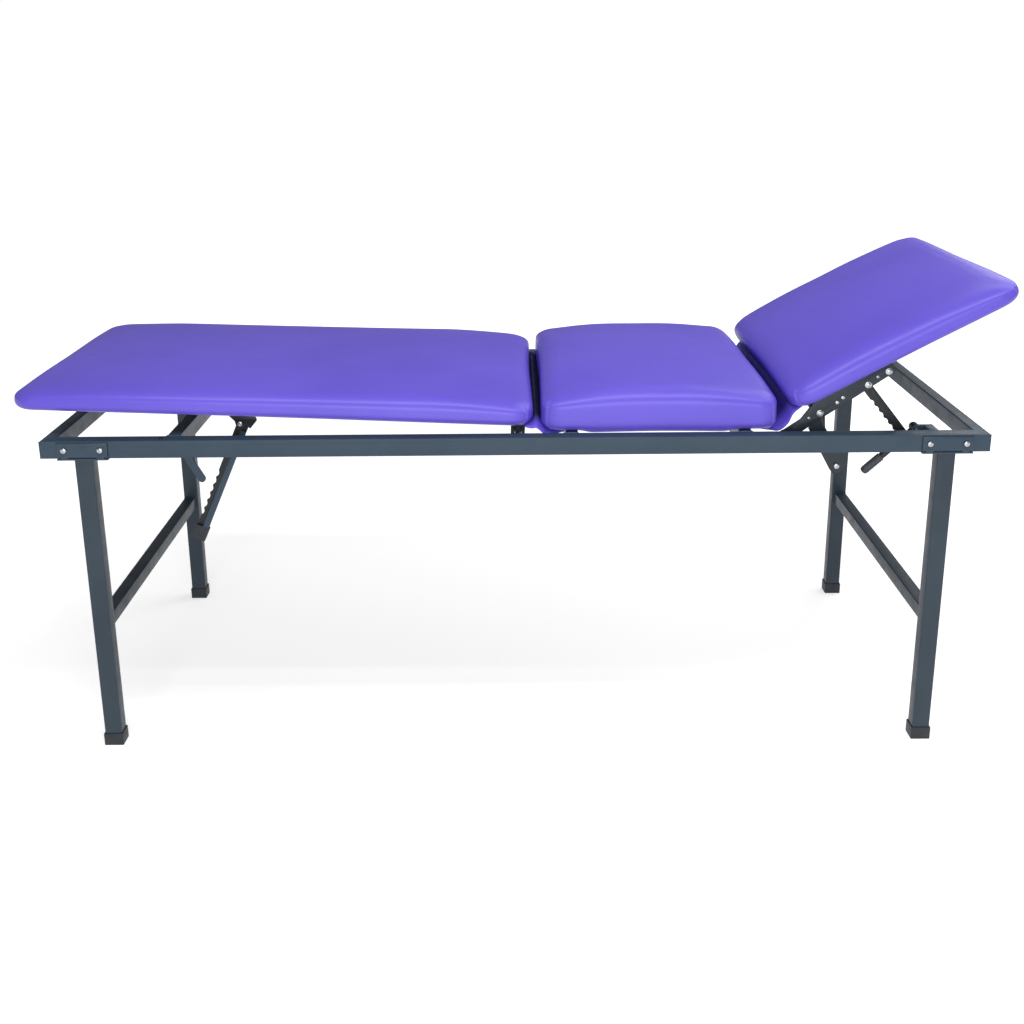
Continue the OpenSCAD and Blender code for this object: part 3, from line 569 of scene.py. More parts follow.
@dataclass(frozen=True)
class Redrawn:
    """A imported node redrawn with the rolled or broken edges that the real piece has."""

    node: str
    radius: float
    edges: Edges = Edges.ALL
    steps: int = 2

    sharp: float = math.radians(28)
    flat: float = math.radians(0.6)
    parallel: float = 0.9995

    def clean_mesh(self) -> bmesh.types.BMesh:
        """Copies the node's surface, with its flat faces whole."""
        source = frame["nodes"][self.node].data
        plain = bpy.data.meshes.new(self.node + "_plain")
        plain.from_pydata([v.co[:] for v in source.vertices], [],
                          [p.vertices[:] for p in source.polygons])
        shape = bmesh.new()
        shape.from_mesh(plain)
        bpy.data.meshes.remove(plain)
        bmesh.ops.remove_doubles(shape, verts=shape.verts, dist=SAME_POINT)
        bmesh.ops.dissolve_limit(shape, angle_limit=self.flat, verts=shape.verts, edges=shape.edges)
        return shape

    def picked(self, shape: bmesh.types.BMesh) -> list[bmesh.types.BMEdge]:
        """Lists the outer edges to round.

        Args:
            shape: The cleaned surface.

        Returns:
            The edges.
        """
        outer = [edge for edge in shape.edges
                 if len(edge.link_faces) == 2 and edge.calc_face_angle_signed(0.0) > self.sharp]
        if self.edges is Edges.ALL:
            return outer
        longest = max(shape.edges, key=lambda edge: edge.calc_length())
        way = (longest.verts[1].co - longest.verts[0].co).normalized()
        return [edge for edge in outer
                if abs((edge.verts[1].co - edge.verts[0].co).normalized().dot(way)) > self.parallel]

    def build(self) -> bpy.types.Object:
        """Makes the redrawn piece in the place of its node.

        Returns:
            The dressed piece, riding on its node's body.
        """
        shape = self.clean_mesh()
        bmesh.ops.bevel(shape, geom=self.picked(shape), offset=self.radius, segments=self.steps,
                        profile=0.5, affect="EDGES", clamp_overlap=True, offset_type="OFFSET")
        mesh = bpy.data.meshes.new(self.node + "_shape")
        shape.to_mesh(mesh)
        shape.free()
        piece = finished(self.node + "_shape", mesh, 40.0)
        Slot.of_node(self.node).dress(piece)
        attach(piece, body_of_node(self.node))
        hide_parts(self.node)
        return piece


def ring_of(middle: Vector, side: Vector, other: Vector, radius: float, sides: int) -> list[Vector]:
    """Points of a ring.

    Args:
        middle: Middle of the ring.
        side: Direction in the ring's plane in which its first point lies.
        other: Direction in the ring's plane, square to the first.
        radius: Radius of the ring.
        sides: Count of its points.

    Returns:
        The points.
    """
    turns = (math.tau * i / sides for i in range(sides))
    return [middle + side * math.cos(a) * radius + other * math.sin(a) * radius for a in turns]


def skin(rings: int, sides: int) -> list[tuple[int, ...]]:
    """Faces of a rod that is closed at both ends.

    Args:
        rings: How many rings of points the rod has.
        sides: Count of points in a ring.

    Returns:
        The faces, as indices of points that are listed ring by ring.
    """
    faces = [tuple(reversed(range(sides)))]
    for i in range(rings - 1):
        for j in range(sides):
            k = (j + 1) % sides
            low, high = i * sides, (i + 1) * sides
            faces.append((low + j, low + k, high + k, high + j))
    faces.append(tuple(range((rings - 1) * sides, rings * sides)))
    return faces


@dataclass(frozen=True)
class WeldSeam:
    """A painted-over weld bead that runs round a tube's end."""

    corners: tuple[Point, ...]
    bead: float = 0.0021
    ripple: float = 0.0045
    trough_share: float = 0.82
    end_share: float = 0.6
    sides: int = 8

    def build(self) -> list[Shell]:
        """Makes one closed, rippled rod for each straight run of the seam.

        Returns:
            Points and faces of each run.
        """
        runs = []
        loop = [*self.corners, self.corners[0]]
        for start, end in pairwise(Vector(corner) for corner in loop):
            way = (end - start).normalized()
            side = way.orthogonal().normalized()
            other = way.cross(side)
            count = max(3, round((end - start).length / self.ripple)) * 2
            points: list[Vector] = []
            for i in range(count + 1):
                swell = self.bead * (1.0 if i % 2 else self.trough_share)
                swell *= self.end_share if i in (0, count) else 1.0
                points += ring_of(start.lerp(end, i / count), side, other, swell, self.sides)
            runs.append((points, skin(count + 1, self.sides)))
        return runs


def end_seams(node: str) -> list[WeldSeam]:
    """Seams round both ends of a tube that lies across the couch.

    Args:
        node: Name of the tube's node.

    Returns:
        The two seams.
    """
    low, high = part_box(node)
    return [WeldSeam(((low.x, y, low.z), (high.x, y, low.z), (high.x, y, high.z), (low.x, y, high.z)))
            for y in (low.y, high.y)]


def top_seam(node: str, bead: float) -> WeldSeam:
    """A seam round the top of an upright piece.

    Args:
        node: Name of the piece's node.
        bead: Radius of the bead.

    Returns:
        The seam.
    """
    low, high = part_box(node)
    top = high.z
    around = ((low.x, low.y, top), (high.x, low.y, top), (high.x, high.y, top), (low.x, high.y, top))
    return WeldSeam(around, bead)


def joined(name: str, parts: Iterable[Shell], crease: float = 60.0) -> bpy.types.Object:
    """Joins separate shells into one piece.

    Args:
        name: Name of the piece.
        parts: Points and faces of each shell.
        crease: Angle in degrees above which an edge stays sharp.

    Returns:
        The piece.
    """
    points: list[Vector] = []
    faces: list[tuple[int, ...]] = []
    for corners, sides in parts:
        start = len(points)
        points += corners
        faces += [tuple(start + i for i in side) for side in sides]
    return new_piece(name, points, faces, crease)


@dataclass
class TubeFrame:
    """The welded frame: four rails, three cross tubes and the welds between them."""

    corner: float = 0.0026
    fitting_edge: float = 0.0008
    lug_bead: float = 0.0012
    rails: tuple[str, ...] = ("front_rail", "back_rail", "foot_end_rail", "head_end_rail")
    cross_tubes: tuple[str, ...] = ("foot_cross_tube", "seat_front_cross_tube", "seat_back_cross_tube")
    fittings: tuple[str, ...] = ("foot_lever_lug", "head_lever_bracket")

    def welds(self) -> bpy.types.Object:
        """Beads where the cross tubes and the lug meet what carries them."""
        seams = [seam for node in self.cross_tubes for seam in end_seams(node)]
        seams.append(top_seam("foot_lever_lug", self.lug_bead))
        piece = joined("frame_welds", [run for seam in seams for run in seam.build()])
        Slot.FRAME_PAINT.dress(piece)
        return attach(piece, "frame")

    def build(self) -> list[bpy.types.Object]:
        """Makes the frame's pieces.

        Returns:
            The pieces.
        """
        pieces = [Redrawn(node, self.corner, Edges.ALONG, 4).build()
                  for node in (*self.rails, *self.cross_tubes)]
        pieces += [Redrawn(node, self.fitting_edge).build() for node in self.fittings]
        return [*pieces, self.welds()]


@dataclass
class LegSet:
    """The four legs with their stretchers, caps and saddle brackets."""

    corner: float = 0.0026
    plate_edge: float = 0.0009
    cap_edge: float = 0.0022
    leg_bead: float = 0.0016
    legs: tuple[str, ...] = ("front_foot_leg", "back_foot_leg", "front_head_leg", "back_head_leg")
    stretchers: tuple[str, ...] = ("foot_stretcher", "head_stretcher")
    brackets: tuple[str, ...] = (
        "front_foot_bracket", "back_foot_bracket", "front_head_bracket", "back_head_bracket")

    def welds(self) -> bpy.types.Object:
        """Beads round the stretchers' ends and round the tops of the legs."""
        seams = [seam for node in self.stretchers for seam in end_seams(node)]
        seams += [top_seam(node, self.leg_bead) for node in self.legs]
        piece = joined("leg_welds", [run for seam in seams for run in seam.build()])
        Slot.LEG_PAINT.dress(piece)
        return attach(piece, "frame")

    def build(self) -> list[bpy.types.Object]:
        """Makes the legs' pieces.

        Returns:
            The pieces.
        """
        pieces = [Redrawn(node, self.corner, Edges.ALONG, 4).build()
                  for node in (*self.legs, *self.stretchers)]
        pieces += [Redrawn(node, self.plate_edge).build() for node in self.brackets]
        pieces.append(Redrawn("foot_caps", self.cap_edge, steps=3).build())
        return [*pieces, self.welds()]


@dataclass
class Hardware:
    """Bolts, nuts, pins, peg and bumper."""

    fine_edge: float = 0.0004
    soft_edge: float = 0.0016
    plated: tuple[str, ...] = (
        "leg_bolts", "leg_nuts", "leg_hinge_pins", "head_hinge_pins", "foot_lever_pin", "head_lever_pin",
        "foot_ratchet_pin", "head_ratchet_pin", "head_arm_bolts")
    rubber: tuple[str, ...] = ("lever_stop_peg", "stop_bumper")

    def build(self) -> list[bpy.types.Object]:
        """Makes the hardware.

        Returns:
            The pieces.
        """
        pieces = [Redrawn(node, self.fine_edge).build() for node in self.plated]
        return pieces + [Redrawn(node, self.soft_edge, steps=3).build() for node in self.rubber]


@dataclass
class Mechanism:
    """The bars, arms, ratchets and levers that move with the sections."""

    bar_edge: float = 0.0016
    plate_edge: float = 0.0007
    bars: tuple[str, ...] = ("front_leg_bar", "back_leg_bar")
    plates: tuple[str, ...] = (
        "leg_cross_bars", "leg_hinge_blocks", "foot_ratchet_hook", "foot_ratchet_bar",
        "foot_ratchet_channel", "foot_ratchet_cap", "foot_lever", "head_cross_rods", "head_ratchet_bar",
        "head_lever")
    arms: tuple[str, ...] = ("front_head_arm", "back_head_arm", "stop_plate")
    # A darker copy of the leg paint: painted shade for the arms and stop plate, which lie under the head pad.
    arm_painted_shade: PowderCoat = PowderCoat(srgb(38, 47, 55), srgb(31, 39, 47), srgb(58, 68, 76))

    def build(self) -> list[bpy.types.Object]:
        """Makes the moving metal pieces.

        Returns:
            The pieces.
        """
        pieces = [Redrawn(node, self.bar_edge, Edges.ALONG, 3).build() for node in self.bars]
        pieces += [Redrawn(node, self.plate_edge).build() for node in self.plates]
        arms = [Redrawn(node, self.plate_edge).build() for node in self.arms]
        # The arms and stop plate wear the darker copy of the leg paint, as painted shade.
        for arm, node in zip(arms, self.arms):
            dress_as(arm, self.arm_painted_shade, "finish_arm_painted_shade", Slot.of_node(node).slot)
        return pieces + arms


@dataclass
class LeverGrip:
    """The moulded sleeve on the head release lever: a lip, ribs and a domed end."""

    node: str = "head_lever_grip"
    angle: float = math.radians(43.3)
    sides: int = 32
    mouth_shares: tuple[float, float] = (0.82, 0.96)
    lip_start: float = 0.0008
    lip_end: float = 0.0022
    neck: float = 0.0032
    neck_share: float = 0.93
    ribs: int = 7
    rings_per_rib: int = 6
    rib_start: float = 0.005
    rib_gap: float = 0.001
    rib_height: float = 0.0005
    body_share: float = 0.94
    dome_share: float = 0.7
    dome_rings: int = 6

    def profile(self, length: float, radius: float) -> list[tuple[float, float]]:
        """Distance along the sleeve and radius of each ring.

        Args:
            length: Length of the sleeve.
            radius: Its outer radius.

        Returns:
            The rings, from the sleeve's mouth to its domed end.
        """
        dome = radius * self.dome_share
        rings = [(0.0, radius * share) for share in self.mouth_shares]
        rings += [(self.lip_start, radius), (self.lip_end, radius), (self.neck, radius * self.neck_share)]
        body = radius * self.body_share
        ribbed = length - dome - self.rib_start - self.rib_gap
        steps = self.ribs * self.rings_per_rib
        for i in range(steps + 1):
            swell = self.rib_height * math.sin(math.pi * i * self.ribs / steps) ** 2
            rings.append((self.rib_start + ribbed * i / steps, body + swell))
        for i in range(1, self.dome_rings + 1):
            a = math.pi / 2 * i / self.dome_rings
            rings.append((length - dome + dome * math.sin(a), body * math.cos(a)))
        return rings

    def build(self) -> list[bpy.types.Object]:
        """Makes the sleeve in the place of its node.

        Returns:
            The piece.
        """
        way = Vector((-math.cos(self.angle), 0.0, -math.sin(self.angle)))
        corners = [v.co for v in frame["nodes"][self.node].data.vertices]
        along = [corner.dot(way) for corner in corners]
        length = max(along) - min(along)
        low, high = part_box(self.node)
        centre = sum(corners, Vector()) / len(corners)
        start = centre - way * (centre.dot(way) - min(along))
        start.y = (low.y + high.y) / 2
        side = Vector((0.0, 1.0, 0.0))
        other = way.cross(side)
        rings = self.profile(length, (high.y - low.y) / 2)
        points: list[Vector] = []
        for place, size in rings[:-1]:
            points += ring_of(start + way * place, side, other, size, self.sides)
        points.append(start + way * rings[-1][0])
        faces: list[tuple[int, ...]] = [tuple(range(self.sides))]
        last = len(rings) - 2
        for i in range(last):
            for j in range(self.sides):
                k = (j + 1) % self.sides
                near, far = i * self.sides, (i + 1) * self.sides
                faces.append((near + k, near + j, far + j, far + k))
        for j in range(self.sides):
            k = (j + 1) % self.sides
            faces.append((last * self.sides + k, last * self.sides + j, len(points) - 1))
        piece = new_piece("lever_grip_sleeve", points, faces)
        Slot.GRIP.dress(piece)
        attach(piece, body_of_node(self.node))
        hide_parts(self.node)
        return [piece]


@dataclass(frozen=True)
class Fastener:
    """A small round head: a straight rim, a low dome over it and a dimple in the middle."""

    place: Point
    way: Point
    head: float
    height: float
    rim_share: float = 0.3
    dome_degrees: tuple[float, ...] = (20, 40, 58)
    dimple_shares: tuple[float, float] = (0.36, 0.3)
    dimple_depth_share: float = 0.4
    sides: int = 24

    def profile(self) -> list[tuple[float, float]]:
        """Radius and height of each ring, from the seat to the dimple."""
        rim = self.height * self.rim_share
        rings = [(self.head, 0.0), (self.head, rim)]
        for angle in map(math.radians, self.dome_degrees):
            rings.append((self.head * math.cos(angle), rim + (self.height - rim) * math.sin(angle)))
        top = rings[-1][1]
        brim, floor = self.dimple_shares
        rings.append((self.head * brim, top))
        rings.append((self.head * floor, top - self.height * self.dimple_depth_share))
        return rings

    def build(self) -> Shell:
        """Makes the head's surface.

        Returns:
            Points and faces.
        """
        way = Vector(self.way).normalized()
        side = way.orthogonal().normalized()
        other = way.cross(side)
        rings = self.profile()
        points: list[Vector] = []
        for radius, rise in rings:
            points += ring_of(Vector(self.place) + way * rise, side, other, radius, self.sides)
        return points, skin(len(rings), self.sides)


@dataclass
class SmallFasteners:
    """Rivets on the head arms, a screw on each long rail, and washers under the arm bolts.

    The rivet shares give each rivet's place along an arm and above its hinge, as shares of the arm's
    length, with its radius.
    """

    rivet_height: float = 0.0022
    screw: float = 0.0045
    screw_height: float = 0.0032
    washer: float = 0.0067
    washer_thick: float = 0.0009
    rivet_shares: tuple[tuple[float, float, float], ...] = (
        (0.232, 0.045, 0.0032), (0.484, 0.055, 0.0042), (0.541, 0.070, 0.0042), (0.851, 0.094, 0.0032))
    screw_place: tuple[float, float] = (-0.684, 0.2875)

    def arm_rivets(self) -> bpy.types.Object:
        """Places rivets on both arms, as shares of an arm's length from its hinge."""
        level = HEAD_LEAN.matrix().inverted()
        corners = [level @ v.co for v in frame["nodes"]["front_head_arm"].data.vertices]
        pivot = Vector(HEAD_LEAN.pivot)
        length = max(corner.x for corner in corners) - pivot.x
        outer = max(abs(corner.y) for corner in corners)
        turn = HEAD_LEAN.matrix()
        heads = []
        for along, rise, radius in self.rivet_shares:
            for side in (-1, 1):
                place = turn @ Vector((pivot.x + along * length, side * outer, pivot.z + rise * length))
                heads.append(Fastener(tuple(place), (0, side, 0), radius, self.rivet_height).build())
        piece = joined("arm_rivets", heads, 50.0)
        Slot.ZINC.dress(piece)
        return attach(piece, "head_section")

    def arm_washers(self) -> bpy.types.Object:
        """Puts a flat washer under each bolt head and under the ratchet pin's head."""
        outer = max(abs(v.co.y) for v in frame["nodes"]["front_head_arm"].data.vertices)
        centres = [centre for node in ("head_arm_bolts", "head_ratchet_pin")
                   for centre in head_centres(node, outer)]
        heads = [Fastener(tuple(centre), (0, math.copysign(1, centre.y), 0), self.washer,
                          self.washer_thick).build() for centre in centres]
        piece = joined("arm_washers", heads, 50.0)
        Slot.ZINC.dress(piece)
        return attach(piece, "head_section")

    def rail_screws(self) -> bpy.types.Object:
        """Puts a screw on the top of each long rail."""
        x, y = self.screw_place
        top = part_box("front_rail")[1].z
        heads = [Fastener((x, side * y, top), (0, 0, 1), self.screw, self.screw_height).build()
                 for side in (-1, 1)]
        piece = joined("rail_screws", heads, 50.0)
        Slot.BLACK_PAINT.dress(piece)
        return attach(piece, "frame")

    def build(self) -> list[bpy.types.Object]:
        """Makes the fasteners.

        Returns:
            The pieces.
        """
        return [self.arm_rivets(), self.arm_washers(), self.rail_screws()]


def head_centres(node: str, face: float, slack: float = 1e-4) -> list[Vector]:
    """Finds the middle of each head that a node has on the outer face of an arm.

    Args:
        node: Name of the node.
        face: Distance of the arms' outer faces from the couch's middle.
        slack: How far inside that face a head's points may lie.

    Returns:
        The middles, on the arms' outer faces.
    """
    shape = bmesh.new()
    shape.from_mesh(frame["nodes"][node].data)
    bmesh.ops.remove_doubles(shape, verts=shape.verts, dist=SAME_POINT)
    centres = []
    unseen = set(shape.verts)
    while unseen:
        solid, stack = [], [unseen.pop()]
        while stack:
            vert = stack.pop()
            solid.append(vert.co.copy())
            for edge in vert.link_edges:
                other = edge.other_vert(vert)
                if other in unseen:
                    unseen.remove(other)
                    stack.append(other)
        outer = [co for co in solid if abs(co.y) > face - slack]
        if outer:
            low = Vector(min(co[i] for co in outer) for i in range(3))
            high = Vector(max(co[i] for co in outer) for i in range(3))
            middle = (low + high) / 2
            centres.append(Vector((middle.x, math.copysign(face, middle.y), middle.z)))
    shape.free()
    return centres


@dataclass(frozen=True)
class Lean:
    """How a section stands at rest: the point it turns about and its angle about Y."""

    pivot: Point
    angle: float

    def matrix(self) -> Matrix:
        """Turns a piece drawn level into its rest place."""
        there = Matrix.Translation(Vector(self.pivot))
        return there @ Matrix.Rotation(self.angle, 4, "Y") @ there.inverted()


def joint_place(name: str) -> Point:
    """Finds a hinge of the frame by its name."""
    return next(tuple(joint["pos_m"]) for joint in frame["joints"] if joint["name"] == name)


# How each pad stands in the photograph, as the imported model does.
LEVEL = Lean((0.0, 0.0, 0.0), 0.0)
LEG_LEAN = Lean(joint_place("leg_tilt"), math.radians(2.45))
HEAD_LEAN = Lean(joint_place("head_tilt"), math.radians(-28.45))

# Distances from a corner seam to the mesh lines beside it, which lie close to carry its relief.
SEAM_LINES = (0.0, 0.0025, 0.006, 0.0115, 0.019, 0.0275)


class End(Enum):
    """The ends of a pad, each with its two corners and, for each, the way round to the long side."""

    LOW_X = ((0, 1), (3, -1))
    HIGH_X = ((1, -1), (2, 1))


@dataclass(frozen=True)
class PadGrid:
    """Counts of a pad's mesh: points in a ring, and cells along and across its top panel."""

    ring: int
    along: int
    across: int

    def corners(self) -> tuple[int, int, int, int]:
        """Places in a ring of the four corner seams."""
        return (0, self.along, self.along + self.across, 2 * self.along + self.across)

    def beside(self, index: int, reach: int) -> int:
        """Finds a point of the same ring.

        Args:
            index: Index of a point.
            reach: How many points further round the ring to look.

        Returns:
            Index of the point found.
        """
        ring, place = divmod(index, self.ring)
        return ring * self.ring + (place + reach) % self.ring


@dataclass
class Pad:
    """One upholstered pad: a vinyl cover over foam, sewn at its corners and tucked under its board."""

    name: str
    node: str
    board: str
    lean: Lean
    near_thick: float
    far_thick: float
    near_is_low_x: bool = True
    sewn: tuple[End, ...] = (End.LOW_X, End.HIGH_X)
    creased: tuple[End, ...] = ()
    corner: float = 0.046
    low_radius: float = 0.017
    edge_width: float = 0.037
    edge_height: float = 0.027
    tuck_steps: int = 7
    wall_steps: int = 3
    edge_steps: int = 10
    seam_rings: tuple[int, int] = (5, 22)
    crease_rings: tuple[int, int] = (12, 19)
    crown: float = 0.009
    draw_in: float = 0.003
    cell: float = 0.013
    shrink: float = 0.0015
    puff: float = 0.0024
    seam_depth: float = 0.0036
    seam_ridge: float = 0.0010
    ridge_shares: tuple[tuple[int, float], ...] = ((1, 1.0), (2, 0.7), (-1, 0.25), (-2, 0.2))
    pucker: float = 0.0005
    fade_steps: int = 3
    settle_frames: int = 20
    even_passes: int = 10
    board_room: float = 0.0006
    board_lip: float = 0.004
    tuck_lip: float = 0.0015
    corner_drops: tuple[float, float] = (0.017, 0.013)
    corner_reach: float = 0.2
    reach: float = 0.0
    hang: float = 0.0
    hang_span: tuple[float, float] = (0.126, 0.435)
    hang_ease: float = 0.022

    def level_box(self) -> tuple[Vector, Vector]:
        """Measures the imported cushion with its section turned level.

        Returns:
            Lowest and highest corner, with the cover's reach past the solid at its high end.
        """
        back = self.lean.matrix().inverted()
        corners = [back @ v.co for v in frame["nodes"][self.node].data.vertices]
        low = Vector(min(c[i] for c in corners) for i in range(3))
        high = Vector(max(c[i] for c in corners) for i in range(3))
        high.x += self.reach
        return low, high

    @staticmethod
    def spread(half: float, corner: float, cell: float) -> list[float]:
        """Places of the mesh lines along one side, from corner seam to corner seam.

        Args:
            half: Half the side, measured to the middle of each corner's arc.
            corner: Length of half a corner's arc.
            cell: Usual distance between two lines.

        Returns:
            Shares of the side from 0 to 1, close together next to the seams.
        """
        near = [*SEAM_LINES, corner]
        middle = 2 * (half - corner)
        count = max(2, round(middle / cell))
        inner = [corner + middle * i / count for i in range(1, count)]
        places = near + inner + [2 * half - place for place in reversed(near)]
        return [place / (2 * half) for place in places]

    def outline(self, length: float, width: float, inset: float, shares: tuple[list[float], list[float]],
                least: float = 0.010) -> list[Vector]:
        """One ring round the pad, starting at a corner seam.

        Args:
            length: Length of the pad.
            width: Width of the pad.
            inset: Distance of the ring inside the pad's outline.
            shares: Places of the mesh lines along a long and along a short side.
            least: Smallest radius of the ring's corners.

        Returns:
            The ring's points in the plane of the pad, about its middle.
        """
        radius = max(self.corner - inset, least)
        half_x, half_y = length / 2 - inset, width / 2 - inset
        points = []
        for side in range(4):
            along, across = (half_x, half_y) if side % 2 == 0 else (half_y, half_x)
            arc = radius * math.pi / 4
            straight = 2 * (along - radius)
            total = straight + 2 * arc
            for share in shares[side % 2][:-1]:
                run = share * total
                if run < arc:
                    turn = math.pi / 4 - run / radius
                    u = -along + radius - radius * math.sin(turn)
                    v = across - radius + radius * math.cos(turn)
                elif run > total - arc:
                    turn = (run - total + arc) / radius
                    u = along - radius + radius * math.sin(turn)
                    v = across - radius + radius * math.cos(turn)
                else:
                    u = -along + radius + run - arc
                    v = across
                    v -= self.draw_in * math.sin(math.pi * (run - arc) / straight) ** 2
                spin = -math.pi / 2 * side
                points.append(Vector((u * math.cos(spin) - v * math.sin(spin),
                                      u * math.sin(spin) + v * math.cos(spin), 0.0)))
        return points

    def last_turn(self, inner: float) -> float:
        """Angle at which the soft edge runs into the crown's own slope.

        Args:
            inner: Distance from the edge to the pad's middle line.

        Returns:
            The angle along the edge's curve, a little under a quarter turn.
        """
        return math.atan2(self.edge_height, self.edge_width * 2 * self.crown / inner)

    def profile(self, thick: float, inner: float) -> list[tuple[float, float]]:
        """Inset and height of each ring, from the board's pocket round the outside to the crown.

        Args:
            thick: Thickness of the pad over its crown.
            inner: Distance from the edge to the pad's middle line.

        Returns:
            The rings.
        """
        back = self.lean.matrix().inverted()
        heights = [(back @ v.co).z for v in frame["nodes"][self.board].data.vertices]
        board_thick = max(heights) - min(heights)
        edge = self.board_inset() - self.board_room
        turn = self.last_turn(inner)
        start = thick - self.crown - self.edge_height * math.sin(turn)
        ceiling = board_thick + self.board_room
        rings = [(edge + self.board_lip, ceiling), (edge, ceiling), (edge, board_thick / 2),
                 (edge, self.tuck_lip), (edge - self.tuck_lip, 0.0)]
        for i in range(self.tuck_steps + 1):
            a = math.pi / 2 * i / self.tuck_steps
            rings.append((self.low_radius * (1 - math.sin(a)), self.low_radius * (1 - math.cos(a))))
        for i in range(1, self.wall_steps):
            rings.append((0.0, self.low_radius + (start - self.low_radius) * i / self.wall_steps))
        for i in range(self.edge_steps + 1):
            a = turn * i / self.edge_steps
            rings.append((self.edge_width * (1 - math.cos(a)), start + self.edge_height * math.sin(a)))
        return rings

    def board_inset(self) -> float:
        """Distance from the pad's outline to its board."""
        low, _ = self.level_box()
        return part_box(self.board)[0].y - low.y

    def crown_height(self, thick: float, insets: tuple[float, float],
                     inners: tuple[float, float]) -> float:
        """Height of the crown at distances inside the outline.

        Args:
            thick: Thickness of the pad over its crown.
            insets: Distance inside the outline, along and across.
            inners: Distance from the edge to the middle, along and across.

        Returns:
            The height.
        """
        rise = self.crown
        for inset, inner in zip(insets, inners):
            share = min(1.0, max(0.0, inset / inner))
            rise *= 1 - (1 - share) ** 2
        return thick - self.crown + rise

    def corner_closeness(self, place: Vector, length: float, width: float) -> float:
        """How near a place is to a corner of the pad, where the cover draws the foam down.

        Args:
            place: The place, about the pad's middle.
            length: Length of the pad.
            width: Width of the pad.

        Returns:
            1 at the corner's arc, falling to 0 inside the pad.
        """
        set_in = self.corner * (1 - math.sqrt(0.5))
        away = math.hypot(length / 2 - set_in - abs(place.x), width / 2 - set_in - abs(place.y))
        return max(0.0, 1 - away / self.corner_reach) ** 2

    def hanging(self, x: float, inset: float, height: float) -> float:
        """How far the cover's lower edge hangs below the board, between the tubes that carry it.

        Args:
            x: Place along the couch.
            inset: Distance inside the pad's outline.
            height: Height over the board's underside.

        Returns:
            The sag.
        """
        if height >= self.low_radius or inset > self.low_radius + self.draw_in:
            return 0.0
        start, end = self.hang_span
        inside = min(x - start, end - x) / self.hang_ease
        along = min(1.0, max(0.0, inside))
        across = (1 - height / self.low_radius) * (1 - min(1.0, inset / self.low_radius) ** 4)
        return self.hang * along * along * (3 - 2 * along) * across

    def mesh(self) -> tuple[list[Vector], list[tuple[int, ...]], PadGrid]:
        """Draws the pad level: its rings, its top panel and the pocket over its board.

        Returns:
            Points, faces and the counts of the mesh.
        """
        low, high = self.level_box()
        length, width = high.x - low.x, high.y - low.y
        thick = max(self.near_thick, self.far_thick)
        arc = self.corner * math.pi / 4
        shares = (self.spread(length / 2 - self.corner + arc, arc, self.cell),
                  self.spread(width / 2 - self.corner + arc, arc, self.cell))
        inner = width / 2 - self.edge_width
        profile = self.profile(thick, inner)
        edge = profile[-1][0]
        points: list[Vector] = []
        for inset, height in profile:
            points += [p + Vector((0.0, 0.0, height))
                       for p in self.outline(length, width, inset, shares)]
        count = len(points) // len(profile)
        faces: list[tuple[int, ...]] = []
        for i in range(len(profile) - 1):
            for j in range(count):
                k = (j + 1) % count
                faces.append((i * count + k, i * count + j, (i + 1) * count + j, (i + 1) * count + k))
        grid = PadGrid(count, len(shares[0]) - 1, len(shares[1]) - 1)

        def height_at(x: float, y: float) -> float:
            """Height of the crown over a place of the top panel."""
            insets = (length / 2 - abs(x) - edge, width / 2 - abs(y) - edge)
            return self.crown_height(thick, insets, (min(inner, length / 2 - edge), inner))

        self.panel(points, faces, (len(profile) - 1) * count, grid, height_at, False)
        ceiling = profile[0][1]
        self.panel(points, faces, 0, grid, lambda x, y: ceiling, True)
        middle = Vector(((low.x + high.x) / 2, (low.y + high.y) / 2, low.z))
        return [middle + self.settled(p, middle.x, length, width) for p in points], faces, grid

    def settled(self, place: Vector, middle_x: float, length: float, width: float) -> Vector:
        """Lowers a point by the pad's taper, by the pull of its corners and by its hanging edge.

        Args:
            place: The point, about the pad's middle.
            middle_x: Place of the pad's middle along the couch.
            length: Length of the pad.
            width: Width of the pad.

        Returns:
            The lowered point.
        """
        shoulder = max(self.near_thick, self.far_thick) - self.crown
        share = min(1.0, max(0.0, (place.z - self.low_radius) / (shoulder - self.low_radius)))
        along = place.x / length + 0.5
        if not self.near_is_low_x:
            along = 1 - along
        drop = (self.near_thick - self.far_thick) * share * along
        drop += self.corner_drops[place.x > 0] * share * self.corner_closeness(place, length, width)
        inset = min(length / 2 - abs(place.x), width / 2 - abs(place.y))
        drop += self.hanging(middle_x + place.x, inset, place.z)
        return Vector((place.x, place.y, place.z - drop))

    @staticmethod
    def panel(points: list[Vector], faces: list[tuple[int, ...]], start: int, grid: PadGrid,
              height: Callable[[float, float], float], flipped: bool) -> None:
        """Fills a ring with a grid whose lines meet the ring's points.

        Args:
            points: The pad's points, which the grid's inner points join.
            faces: The pad's faces, which the grid's faces join.
            start: Index of the ring's first point.
            grid: The counts of the pad's mesh.
            height: Height of the panel at a place.
            flipped: Whether the panel faces down.
        """
        nx, ny, count = grid.along, grid.across, grid.ring
        ids = [[0] * (ny + 1) for _ in range(nx + 1)]
        for i in range(nx + 1):
            ids[i][ny] = start + i
            ids[i][0] = start + (2 * nx + ny - i) % count
        for j in range(ny + 1):
            ids[nx][j] = start + nx + (ny - j)
            ids[0][j] = start + (2 * nx + ny + j) % count
        for i in range(1, nx):
            for j in range(1, ny):
                u, v = i / nx, j / ny
                left, right = points[ids[0][j]], points[ids[nx][j]]
                low, high = points[ids[i][0]], points[ids[i][ny]]
                x = low.x + (high.x - low.x) * v
                y = left.y + (right.y - left.y) * u
                ids[i][j] = len(points)
                points.append(Vector((x, y, height(x, y))))
        for i in range(nx):
            for j in range(ny):
                face = (ids[i][j], ids[i + 1][j], ids[i + 1][j + 1], ids[i][j + 1])
                faces.append(tuple(reversed(face)) if flipped else face)

